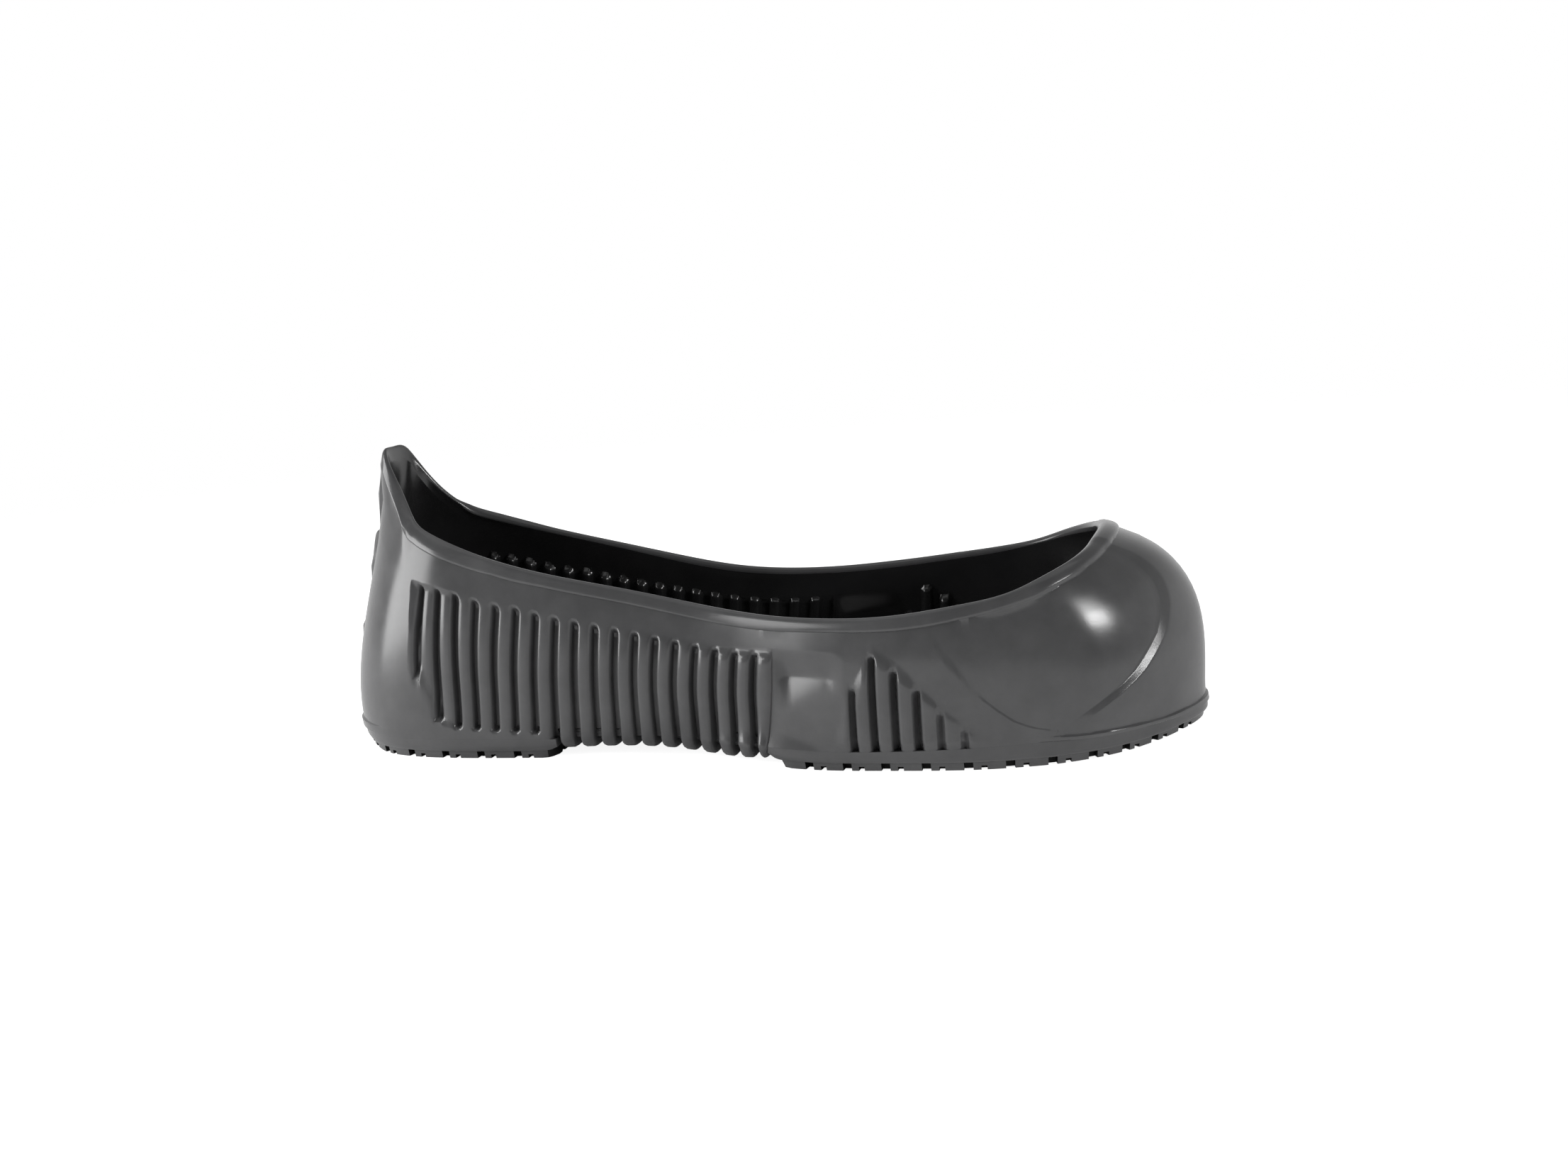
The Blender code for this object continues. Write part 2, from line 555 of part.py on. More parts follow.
def build():
    """Clear the scene and make the overshoe's pieces."""
    for old in list(bpy.data.objects):
        bpy.data.objects.remove(old)
    upper(rubber("upper rubber", *UPPER_RUBBER))
    breast = np.array((ARCH_REAR - BREAST_RUN, ARCH_REAR - 2 * GAP))
    heel_places = np.concatenate([places(HEEL_BACK, ARCH_REAR - END_RUN), breast])
    heel = sole("heel_sole", heel_places, HEEL_ROOT, HEEL_LUGS, rubber("heel rubber", *SOLE_RUBBER))
    cut_lugs(heel, gap_lattice("heel_gaps", HEEL_GAPS, HEEL_ROOT))
    rear = PANEL_END + np.array((2 * GAP, *FORE_RUNS))
    fore_places = np.concatenate([rear, places(PANEL_END + END_RUN, TOE_TIP)])
    fore = sole("forefoot_sole", fore_places, FORE_ROOT, FORE_LUGS, rubber("forefoot rubber", *SOLE_RUBBER))
    cut_lugs(fore, gap_lattice("forefoot_gaps", FORE_GAPS, FORE_ROOT))


build()
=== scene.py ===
# %% [markdown]
# # A pull-on rubber overshoe
# An overshoe is worn over another shoe. It is moulded in one grey rubber: a thin stretchy wall with ribs,
# a rolled collar, a domed toe and two lugged sole units. This lesson dresses the plain CAD solids: each
# solid is replaced by a finer mesh of the same form, so everything stays in the CAD frame, in metres,
# with the toe along +X.

# %% Load the frame
import math

import bmesh
import bpy
import numpy as np
from mathutils import Matrix, Vector


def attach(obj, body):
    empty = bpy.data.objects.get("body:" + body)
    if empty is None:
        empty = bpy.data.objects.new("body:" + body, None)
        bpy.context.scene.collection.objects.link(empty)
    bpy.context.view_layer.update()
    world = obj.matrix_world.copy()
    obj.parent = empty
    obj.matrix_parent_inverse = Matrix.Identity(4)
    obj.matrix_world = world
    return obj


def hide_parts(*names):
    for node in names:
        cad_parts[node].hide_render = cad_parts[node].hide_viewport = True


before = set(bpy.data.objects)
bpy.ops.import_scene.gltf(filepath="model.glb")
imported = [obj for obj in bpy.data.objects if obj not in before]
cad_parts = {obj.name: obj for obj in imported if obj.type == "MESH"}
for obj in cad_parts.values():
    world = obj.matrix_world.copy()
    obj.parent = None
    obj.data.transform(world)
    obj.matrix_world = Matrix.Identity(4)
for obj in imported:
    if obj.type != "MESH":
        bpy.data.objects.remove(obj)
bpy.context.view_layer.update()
MM = 0.001
print("CAD nodes:", sorted(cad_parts))

# %% [markdown]
# ## The last's sections
# A shoemaker's last is described by sections. Each row of this table is one section of the wall on one
# side: its name, its place along the outline, and four points from the foot of the wall to the rim, as
# (x, half width, z) in millimetres. A few well-chosen sections and a smooth spline through them give a
# fairer wall than many points would.

# %% Section table
# name, along, foot, low, high, rim
SECTIONS = (
    ("heel back", -160, (-145.8, 0.0, 7.2), (-142.2, 0.0, 39), (-132.8, 0.0, 72), (-125.3, 0.0, 104.5)),
    ("tab corner", -146, (-143.0, 11.6, 7.1), (-139.7, 11.5, 38), (-130.5, 9.0, 71), (-123.9, 8.8, 102.9)),
    ("heel round", -132, (-134.0, 22.7, 7.0), (-131.4, 22.5, 36), (-124.0, 18.8, 67), (-117.2, 12.6, 91.8)),
    ("heel corner", -116, (-120.5, 30.5, 7.0), (-118.5, 30.4, 33), (-113.8, 27.2, 62), (-109.0, 19.6, 80.5)),
    ("heel side", -100, (-104.0, 33.7, 7.0), (-102.0, 34.0, 29), (-100.5, 32.3, 57), (-98.5, 25.0, 75.0)),
    ("counter", -80, (-84.0, 34.8, 7.0), (-82.2, 35.2, 26), (-80.7, 34.3, 49), (-78.5, 30.5, 68.1)),
    ("rear waist", -60, (-63.5, 35.2, 7.0), (-62.0, 36.2, 24), (-60.5, 35.4, 44), (-58.5, 32.4, 62.6)),
    ("waist", -35, (-37.5, 35.0, 7.0), (-36.5, 36.6, 22), (-35.5, 36.0, 40), (-34.5, 30.6, 57.0)),
    ("front waist", -10, (-11.5, 36.0, 7.0), (-11.0, 37.3, 20), (-10.3, 37.3, 36), (-10.0, 31.6, 51.6)),
    ("flare", 15, (14.5, 45.0, 6.8), (14.8, 43.3, 19), (15.0, 43.2, 34), (15.0, 39.3, 48.4)),
    ("rear ball", 40, (40.0, 50.6, 6.4), (40.0, 51.2, 20), (40.0, 51.3, 35), (40.0, 47.0, 48.0)),
    ("ball", 60, (60.0, 51.5, 6.7), (60.0, 54.0, 20), (60.0, 54.6, 35), (60.0, 51.0, 49.2)),
    ("front ball", 80, (81.0, 51.0, 7.3), (81.0, 53.5, 21), (80.5, 53.5, 37), (79.0, 49.6, 51.5)),
    ("toe joint", 100, (101.5, 47.0, 7.8), (102.0, 50.0, 22), (99.5, 49.0, 41), (93.5, 47.0, 54.0)),
    ("toe side", 118, (118.9, 40.6, 7.9), (120.5, 43.5, 23), (116.0, 42.3, 44), (104.0, 41.0, 57.8)),
    ("toe round", 134, (130.9, 32.0, 8.0), (132.5, 34.0, 24), (127.8, 32.8, 46), (110.9, 33.4, 60.5)),
    ("toe corner", 148, (140.3, 22.0, 8.0), (141.3, 23.5, 25), (136.2, 22.6, 48), (115.0, 23.4, 62.5)),
    ("toe front", 160, (147.0, 11.0, 8.1), (147.3, 11.8, 26), (142.0, 11.5, 49), (117.1, 12.4, 64.2)),
    ("toe tip", 173, (149.9, 0.0, 8.2), (149.9, 0.0, 26), (144.4, 0.0, 49), (118.2, 0.0, 65.0)),
)
ALONG = np.array([row[1] for row in SECTIONS], dtype=float)
POINTS = np.array([np.ravel(row[2:]) for row in SECTIONS], dtype=float)
LEVELS = 4
HEEL_BACK = ALONG[0]
TOE_TIP = ALONG[-1]
MIDDLE = (POINTS[0, 0] + POINTS[-1, 0]) / 2  # x of the middle of the length, which is the frame's origin
print(len(SECTIONS), "sections over", POINTS[-1, 0] - POINTS[0, 0], "mm")

# %% [markdown]
# ## One smooth wall
# The wall is a function: give it a place along the outline and a share of the height, and it gives a
# point. Along the outline it is a natural cubic spline. The table is mirrored past both ends, so the
# spline crosses the middle of heel and toe without a corner. Across the height one cubic runs through the
# four points.

# %% Wall function


def spline(knots, values, at):
    """Natural cubic spline through the rows of values, read at each place in the array at."""
    steps = np.diff(knots)
    system = np.eye(len(knots))
    bends = np.zeros_like(values)
    for i in range(1, len(knots) - 1):
        system[i, i - 1:i + 2] = (steps[i - 1], 2 * (steps[i - 1] + steps[i]), steps[i])
        bends[i] = 6 * ((values[i + 1] - values[i]) / steps[i] - (values[i] - values[i - 1]) / steps[i - 1])
    bends = np.linalg.solve(system, bends)
    k = np.clip(np.searchsorted(knots, at) - 1, 0, len(knots) - 2)
    width = steps[k][:, None]
    p = (knots[k + 1] - at)[:, None] / width
    q = 1 - p
    curve = (p ** 3 - p) * bends[k] + (q ** 3 - q) * bends[k + 1]
    return p * values[k] + q * values[k + 1] + width * width / 6 * curve


def mirrored_sections(extra=3):
    """The section table with its mirror image past both ends."""
    flip = np.tile((1, -1, 1), LEVELS)
    knots = np.concatenate([2 * HEEL_BACK - ALONG[extra:0:-1], ALONG, 2 * TOE_TIP - ALONG[-2:-2 - extra:-1]])
    values = np.concatenate([POINTS[extra:0:-1] * flip, POINTS, POINTS[-2:-2 - extra:-1] * flip])
    return knots, values


KNOTS, VALUES = mirrored_sections()


def section_points(along):
    """The four points of the wall's section at each place, as an array (places, levels, xyz)."""
    return spline(KNOTS, VALUES, along).reshape(-1, LEVELS, 3)


def wall(along, share=0.0):
    """Points on the near wall's face, at each place along the outline and share of its height."""
    s = share + 0 * along
    weights = ((1 - 3 * s) * (2 - 3 * s) * (1 - s) / 2, 4.5 * s * (2 - 3 * s) * (1 - s),
               4.5 * s * (3 * s - 1) * (1 - s), s * (3 * s - 1) * (3 * s - 2) / 2)
    levels = section_points(along)
    points = sum(weights[i][:, None] * levels[:, i] for i in range(LEVELS))
    return points * (1, -1, 1)


def wall_normal(along, share=0.0, du=0.5, ds=0.01):
    """Outward unit normals of the near wall."""
    round_it = wall(along + du, share) - wall(along - du, share)
    up_it = wall(along, share + ds) - wall(along, share - ds)
    normal = np.cross(round_it, up_it)
    return normal / np.linalg.norm(normal, axis=1)[:, None]


def wall_height(along):
    """Length of the wall's section from foot to rim."""
    return np.linalg.norm(np.diff(section_points(along), axis=1), axis=2).sum(axis=1)


def read(table, at):
    """Straight-line reading of a two-column table."""
    columns = np.array(table, dtype=float).T
    return np.interp(at, columns[0], columns[1])


def ramp(value, start, end):
    """0 before start, 1 after end, smooth between them."""
    t = np.clip((value - start) / (end - start), 0, 1)
    return t * t * (3 - 2 * t)


print("wall height at the waist: %.1f mm" % wall_height(np.array((-35.0,)))[0])

# %% [markdown]
# ## The rolled collar
# The rim carries a band that stands a little proud, thicker over the toe and taller at the heel. Its
# lower edge is a crease and its top is rolled over to the inside. The roll is an ellipse: near the rim,
# the outer and the inner face both close in on the middle of the wall's thickness, so the two sheets meet
# in one line. On the heel tab the band gives way to a ridge below a thinner rim.

# %% Collar profile
WALL = 2.4  # rubber of the upper
TAB_RIDGE = 1.0  # height of the ridge along the heel tab's edge
TAB_RUN = 8.0  # height below the ridge in which it runs out
TAB_THIN = 1.0  # how much thinner the tab's rim is
TAB_END = (-120, -111)  # places between which the ridge runs out
BAND_STEP = 0.9  # how far the band stands proud along the sides
BAND_STEP_TOE = 1.5  # and over the toe
BAND_SWELL = (90, 150)  # places between which it grows
BAND_ROUND = 7  # flat with firm edges along the sides
BAND_ROUND_TOE = 3  # a round bead over the toe
BAND_START = (-121, -114)  # places between which it begins below the tab
RIM_ROLL = 1.5  # height of the rolled rim
# Height of the collar band, and drop of the ridge on the tab: along, height
BAND = ((-160, 4.7), (-143, 4.9), (-139, 6.1), (-133.7, 6.7), (-126, 7.5), (-121, 8.6), (-115, 10.6),
        (-100, 10.2), (-78, 6.1), (-61, 5.0), (80, 5.0), (92, 5.7), (108, 6.9), (124, 6.0), (134, 5.0),
        (150, 4.4), (173, 4.0))


def tab_edge(along, drop):
    """Relief of the tab's edge outside: a ridge with a bevel up to the rim."""
    band = read(BAND, along)
    rise = np.minimum(drop / band, 1 - ramp(drop, band, band + TAB_RUN))
    return TAB_RIDGE * (1 - ramp(along, *TAB_END)) * rise


def tab_thin(along, drop):
    """How far the tab's inner face comes out towards the rim."""
    return TAB_THIN * (1 - ramp(along, *TAB_END)) * np.clip(1 - drop / read(BAND, along), 0, 1)


def collar_band(along, drop):
    """How far the collar band stands proud at each drop below the rim."""
    step = BAND_STEP + (BAND_STEP_TOE - BAND_STEP) * ramp(along, *BAND_SWELL)
    half = read(BAND, along) / 2
    round_it = BAND_ROUND + (BAND_ROUND_TOE - BAND_ROUND) * ramp(along, *BAND_SWELL)
    crown = np.sqrt(1 - np.clip(np.abs(drop / half - 1), 0, 1) ** round_it)
    return step * crown * ramp(along, *BAND_START)


def rolled(relief, other, drop):
    """Close a face in on the middle of the wall at the rim. other is the relief of the opposite face."""
    centre = (relief + other) / 2
    t = np.clip(1 - drop / RIM_ROLL, 0, 1)
    return centre + (relief - centre) * np.sqrt(1 - t ** 2)


print("collar band: %.1f mm tall at the heel, %.1f mm at the side" % (read(BAND, -110), read(BAND, 0)))

# %% [markdown]
# ## Stretch ribs
# Eighteen grooves let the side stretch. Their lower ends lean a little to the heel. On the heel side they
# are slots between flat crests. Towards the waist the crests become round, stand proud of the wall and
# wrap under the arch. Every groove is a line with round ends, so its depth depends only on the distance
# to that line, and the ends come out as neat arches.

# %% Rib profile
RIB_COUNT = 18
RIB_FIRST = -104.1
RIB_PITCH = 6.93
RIB_DEPTH = 3.4
RIB_FLOOR = 0.95  # half width of a groove's flat floor
RIB_HALF = 2.3  # half width of a groove with its rounded edges
RIB_EDGE = 2.3  # roundness of the edges, 1 is a bevel and 2 a circle
RIB_PROUD = 1.5  # how far the front ribs stand out of the waist
RIB_SWELL = (-60, 5)  # places between which they rise to that
RIB_CROWN = 0.3  # and how much their crests are rounded
RIB_CAP = 2.6  # height of the sloped cap on a proud rib
CAP_OVER = 0.4  # how far a slope at the rib tops passes them
PANEL_STEP = 2.0  # width of the last rib's round front
BUMP_HALF = 2.1  # half width of the bump that a groove makes inside
BUMP_TALL = 2.3
# Rib tops below the rim: along, drop
RIB_TOP = ((-160, 30.0), (-104, 21.8), (-90, 17.8), (-70, 13.3), (14, 11.2), (60, 11.4), (173, 14.0))
# Rise of the bottom ends of the heel side's grooves: along, rise
RIB_BOTTOM = ((-104.1, 21.0), (-97.2, 7.6), (-90.2, 4.6), (-76.4, 2.6), (-62.5, 1.6), (-60.0, -9.0))
# How far the lower ends of the grooves lie towards the heel: along, distance
RIB_LEAN = ((-125, 0.0), (-104.1, 3.0), (-90.2, 2.1), (-69.5, 1.3), (-55.59, 1.0), (-40, 0.7),
            (-15, 1.6), (14, 1.8))
LEAN_SHARES = (0.35, 0.85)  # shares of the wall's height between which the grooves lean
LEAN_ROUNDS = 4  # rounds in which a leaning line is traced to its top
# Front edge of the ribbed panel, which leans: share of the wall's height, along
PANEL_EDGE = ((0, 16.2), (0.5, 18.8), (0.88, 20.2), (1, 20.4))
PANEL_END = PANEL_EDGE[0][1]


def groove_number(along, first, pitch, count):
    """The nearest groove of a row."""
    return np.clip(np.round((along - first) / pitch), 0, count - 1).astype(int)


def slot_depth(away, floor, half):
    """Depth of a groove with round edges, as a share, at a distance from its line."""
    x = np.clip((away - floor) / (half - floor), 0, 1)
    return 1 - (1 - (1 - x) ** RIB_EDGE) ** (1 / RIB_EDGE)


def bump_height(away):
    """Height of the round bump inside, as a share."""
    return np.sqrt(1 - np.clip(away / BUMP_HALF, 0, 1) ** 2)


def rib_lean(place, share):
    """How far a groove has moved towards the heel at a share of the wall's height."""
    return read(RIB_LEAN, place) * (1 - ramp(share, *LEAN_SHARES))


def upright(along, share):
    """Place where the line that runs through a point and leans with the grooves tops out."""
    place = along
    for _ in range(LEAN_ROUNDS):
        place = along + rib_lean(place, share)
    return place


def rib_away(along, rise, radius):
    """Distance to the line of the nearest groove, whose ends have the given radius."""
    place = upright(along, rise / wall_height(along))
    centre = RIB_FIRST + RIB_PITCH * groove_number(place, RIB_FIRST, RIB_PITCH, RIB_COUNT)
    top = wall_height(along) - read(RIB_TOP, centre) - radius
    bottom = read(RIB_BOTTOM, centre) + radius
    over = np.maximum(rise - top, 0) + np.maximum(bottom - rise, 0)
    return np.hypot(place - centre, over)


def rib_proud(along, rise):
    """How far the front ribs stand out of the waist."""
    height = wall_height(along)
    top = height - read(RIB_TOP, along)
    front = (along - read(PANEL_EDGE, rise / height)) / PANEL_STEP + 1
    lengthwise = ramp(along, *RIB_SWELL) * np.sqrt(1 - np.clip(front, 0, 1) ** 2)
    place = upright(along, rise / height)
    crest = RIB_FIRST + RIB_PITCH * (np.round((place - RIB_FIRST) / RIB_PITCH - 0.5) + 0.5)
    crown = RIB_CROWN * ((place - crest) / (RIB_PITCH / 2)) ** 2
    return (RIB_PROUD - crown) * lengthwise * (1 - ramp(rise, top - RIB_CAP, top + CAP_OVER))


print("ribs: %d grooves, %.2f mm pitch" % (RIB_COUNT, RIB_PITCH))

# %% [markdown]
# ## Slanted end of the rib panel
# Behind the first two grooves the heel is a little fuller than the ribbed panel, and ends in a slanted
# edge. It is a small step whose place depends on the height.

# %% Panel edge
HEEL_STEP = 0.9
HEEL_STEP_SOFT = 0.5
HEEL_STEP_FADE = (-101, -86)  # places between which the step runs out
HEEL_STEP_FOOT = (5, 10)  # rises between which it begins
HEEL_STEP_TOP = 1.6  # height of its slope below the rib tops
# Slanted edge: rise, along
HEEL_EDGE = ((0, -92.0), (5, -96.6), (8.8, -98.3), (22, -105.0), (40, -108.2), (52, -108.6), (70, -107.0))


def panel_sink(along, rise):
    """How far the rear end of the rib panel lies below the heel."""
    edge = read(HEEL_EDGE, rise)
    top = wall_height(along) - read(RIB_TOP, along)
    inside = ramp(along, edge - HEEL_STEP_SOFT, edge + HEEL_STEP_SOFT) * (1 - ramp(along, *HEEL_STEP_FADE))
    upwards = ramp(rise, *HEEL_STEP_FOOT) * (1 - ramp(rise, top - HEEL_STEP_TOP, top + CAP_OVER))
    return HEEL_STEP * inside * upwards


print("panel step: %.1f mm" % HEEL_STEP)

# %% [markdown]
# ## The fan at the ball
# Six shorter grooves stand in a triangle at the ball of the foot, where the shoe bends. The crests
# between them stand proud of the wall, and a bevel runs around the triangle, so that its outline shows as
# a row of caps.

# %% Fan profile
FAN_FIRST = 45.0
FAN_PITCH = 6.63
FAN_FLOOR = 0.85
FAN_HALF = 2.2
FAN_LEAN = 1.8  # how far the grooves lean to the toe over the whole height of the wall
FAN_PROUD = 1.2
FAN_CROWN = 0.35  # how much the crests are rounded
FAN_FADE = 5.0  # height above the foot in which the crests run out
FAN_CAP = 3.0  # height of the bevel from the wall to the crests
FAN_FLANK = 4.0  # width of the bevel along the fan's left flank
FAN_END = (82, 86)
FAN_TOPS = (21.4, 31.4, 27.6, 21.8, 14.8, 9.2)  # rise of each groove's top
FAN_DEPTHS = (2.6, 3.1, 3.1, 2.9, 1.5, 1.1)
# Outline of the raised triangle: along, rise
FAN_OUTLINE = ((49.0, 36.0), (52.6, 33.6), (59.3, 29.0), (66.0, 22.8), (72.4, 15.8), (79.0, 9.6), (86, 0))
# Left flank: rise, along
FAN_LEFT = ((0, 38.0), (5.5, 39.1), (17.5, 43.7), (21, 45.7), (31, 51.2), (34, 53.0))


def fan_upright(along, rise):
    """Place where the line that runs through a point and leans with the fan's grooves has its foot."""
    return along - FAN_LEAN * rise / wall_height(along)


def fan_away(along, rise, radius):
    """Distance to the line of the nearest groove of the fan."""
    place = fan_upright(along, rise)
    number = groove_number(place, FAN_FIRST, FAN_PITCH, len(FAN_TOPS))
    over = np.maximum(rise - np.array(FAN_TOPS)[number] + radius, 0)
    return np.hypot(place - FAN_FIRST - FAN_PITCH * number, over)


def fan_depth(along, rise):
    """Depth of the fan's nearest groove."""
    number = groove_number(fan_upright(along, rise), FAN_FIRST, FAN_PITCH, len(FAN_TOPS))
    return np.array(FAN_DEPTHS)[number]


def fan_proud(along, rise):
    """How far the fan's triangle stands out of the wall."""
    under = np.clip((read(FAN_OUTLINE, along) - rise) / FAN_CAP, 0, 1)
    flank = np.clip((along - read(FAN_LEFT, rise)) / FAN_FLANK, 0, 1)
    place = (fan_upright(along, rise) - FAN_FIRST) / FAN_PITCH
    crown = FAN_CROWN * (2 * (place - np.round(place - 0.5) - 0.5)) ** 2
    proud = (FAN_PROUD - crown) * np.minimum(under, flank)
    return proud * (1 - ramp(along, *FAN_END)) * ramp(rise, 0, FAN_FADE)


print("fan:", len(FAN_TOPS), "grooves")

# %% [markdown]
# ## The dent beside the fan
# Between the ribs and the fan the side is pressed in. The dent is deepest at a crease, and the facet
# below the crease faces up and back, so it catches the light.

# %% Dent profile
DENT_ALONG = (19.4, 22.6, 38.0, 44.0)  # ends of the dent with their slopes
DENT_RISE = (11.5, 23.3, 32.0)  # lower end, crease and upper end
DENT_DEPTH = 1.9
DENT_TURN = 0.06  # slope along the shoe
DENT_BEND = 1.5  # hollowness of the facet below the crease, 1 is flat


def dent(along, rise):
    """Depth of the dent."""
    low, crease, high = DENT_RISE
    below = np.clip((rise - low) / (crease - low), 0, 1) ** DENT_BEND
    above = 1 - ramp(rise, crease, high)
    inside = ramp(along, *DENT_ALONG[:2]) * (1 - ramp(along, *DENT_ALONG[2:]))
    middle = sum(DENT_ALONG) / len(DENT_ALONG)
    return inside * np.where(rise < crease, below, above) * (DENT_DEPTH - DENT_TURN * (along - middle))


print("dent: %.1f mm deep" % DENT_DEPTH)

# %% [markdown]
# ## The toe
# The domed toe has a front bumper. Between the bumper and the side lies an oval panel that is sunk a
# little. Its front edge is a rounded step, its rear edge a thin line, and below it a strip runs around
# the foot of the wall.

# %% Toe profile
TOE_SINK = 0.8
TOE_EDGE = 2.1  # half width of the slope along the bumper's edge
TOE_LINE = 0.8  # half width of the slope along the panel's rear edge
TOE_LINE_SHARE = 0.4  # share of the panel's depth that is reached at this line
TOE_RUN = 12  # the rest is reached this far in front of it
TOE_FADE = 0.6  # share of the depth that is lost at the top of the panel
TOE_FADE_SHARES = (0.7, 0.95)  # shares of the wall's height between which it is lost
STRIP_TOP = 3.1
STRIP_SLOPE = 0.45
STRIP_PROUD = 0.75
STRIP_TOE = (96, 112)  # places between which the strip grows in front
STRIP_HEEL = (-146, -118)  # places between which it dies out behind
# Front edge and rear edge of the sunk toe panel: share of the wall's height, along
TOE_FRONT = ((0.10, 107.6), (0.20, 112.4), (0.28, 120.0), (0.365, 131.4), (0.50, 144.0), (0.60, 149.4),
             (0.70, 152.2), (1.00, 153.0))
TOE_REAR = ((0.10, 106.0), (0.15, 98.2), (0.20, 93.1), (0.29, 88.1), (0.43, 81.7), (0.62, 76.0), (1.00, 66.0))


def toe_panel(along, share, rise):
    """1 inside the sunk panel on the side of the toe."""
    above = ramp(rise, STRIP_TOP, STRIP_TOP + STRIP_SLOPE)
    front = read(TOE_FRONT, share)
    rear = read(TOE_REAR, share)
    before = np.clip((front + TOE_EDGE - along) / (2 * TOE_EDGE), 0, 1)
    behind = TOE_LINE_SHARE * ramp(along, rear - TOE_LINE, rear + TOE_LINE)
    behind += (1 - TOE_LINE_SHARE) * ramp(along, rear, rear + TOE_RUN)
    return above * before * behind * (1 - TOE_FADE * ramp(share, *TOE_FADE_SHARES))


def foot_strip(along, rise):
    """1 on the strip around the foot of the wall, at toe and heel."""
    place = ramp(along, *STRIP_TOE) + 1 - ramp(along, *STRIP_HEEL)
    return place * (1 - ramp(rise, STRIP_TOP, STRIP_TOP + STRIP_SLOPE))


print("toe panel: sunk %.1f mm" % TOE_SINK)

# %% [markdown]
# ## Grip nubs on the heel's back
# Plain oval nubs run down the heel's back, from a large one at the tab to a faint one below. They help a
# hand to pull the overshoe on. Each is a low dome added to the wall.

# %% Nub profile
NUB_WIDE = 9.5  # half width around the heel
NUB_POWER = 6  # how full the ovals are, 2 is an ellipse
# rise of the middle, half height, proud
NUBS = ((85.5, 6.8, 2.2), (65.2, 5.0, 1.6), (57.0, 3.4, 1.5), (37.3, 2.8, 1.3), (18.0, 7.0, 0.5))


def heel_nubs(along, rise):
    """Height of the nubs on the heel's back."""
    height = 0 * along
    for middle, half, proud in NUBS:
        inside = 1 - ((along - HEEL_BACK) / NUB_WIDE) ** NUB_POWER - ((rise - middle) / half) ** NUB_POWER
        height = np.maximum(height, proud * np.sqrt(np.clip(inside, 0, 1)))
    return height


print("nubs:", len(NUBS))

# %% [markdown]
# ## Outer and inner face
# All the relief adds up to one number per point: how far the face stands off the smooth wall along its
# normal. The outer face gets every step and groove. The inner face lies a wall's thickness deeper and has
# a bump behind each groove, as the real moulding has.

# %% Faces
TINY = 1e-6  # what is smaller than this counts as nothing


def outer_relief(along, share):
    """Height of the outer face over the smooth wall."""
    height = wall_height(along)
    rise = share * height
    ribs = RIB_DEPTH * slot_depth(rib_away(along, rise, RIB_HALF), RIB_FLOOR, RIB_HALF)
    fan = fan_depth(along, rise) * slot_depth(fan_away(along, rise, FAN_HALF), FAN_FLOOR, FAN_HALF)
    relief = collar_band(along, height - rise) + tab_edge(along, height - rise)
    relief += STRIP_PROUD * foot_strip(along, rise) + heel_nubs(along, rise)
    relief += rib_proud(along, rise) + fan_proud(along, rise) - panel_sink(along, rise) - dent(along, rise)
    relief -= TOE_SINK * toe_panel(along, share, rise)
    return relief - np.maximum(ribs, fan)


def inner_relief(along, share):
    """Height of the inner face over the smooth wall, a negative number."""
    height = wall_height(along)
    rise = share * height
    nearest = np.minimum(rib_away(along, rise, BUMP_HALF), fan_away(along, rise, BUMP_HALF))
    relief = rib_proud(along, rise) + tab_thin(along, height - rise) - dent(along, rise)
    return relief - WALL - BUMP_TALL * bump_height(nearest)


def face(along, share, outside):
    """Points of the outer or inner face."""
    outer = outer_relief(along, share)
    inner = inner_relief(along, share)
    drop = (1 - share) * wall_height(along)
    relief = rolled(outer, inner, drop) if outside else rolled(inner, outer, drop)
    points = wall(along, share) + wall_normal(along, share) * relief[:, None]
    at_foot = share < TINY
    points[at_foot, 2] = wall(along[at_foot], share[at_foot])[:, 2]
    return points


print("wall thickness: %.1f mm" % WALL)

# %% [markdown]
# ## Where the mesh has columns and rows
# A grid shows a crease best when its edges run along it. So columns stand close together beside every
# groove and lean with it, and in the toe they lean with the two edges of the oval panel. Rows crowd at
# the rim, the crease, the rib tops and the foot.

# %% Columns and rows
RIB_COLUMNS = np.array((0.95, 1.0, 1.1, 1.3, 1.65, 2.3))  # distances from a groove's line
HEEL_SPLIT = (-113, -112.4)  # last column of the heel's round, first one in front of it
HEEL_COUNTS = (28, 9)  # columns of both
LAST_COLUMN = 0.9  # columns of the last groove end at this share of its half width
GAP_COUNT = 12  # columns between the ribs and the fan
# Columns of the toe: up to the panel, its rear edge, the panel, its front edge, the bumper
TOE_COUNTS = (8, 6, 28, 10, 22)
REAR_LIMIT = 84.0  # the panel's rear edge pulls columns along only in front of this place


def groove_columns(first, pitch, count):
    """Columns around each groove of a row, with one on each crest."""
    around = np.concatenate([-RIB_COLUMNS[::-1], [0], RIB_COLUMNS, [pitch / 2]])
    return (first + pitch * np.arange(count)[:, None] + around).ravel()


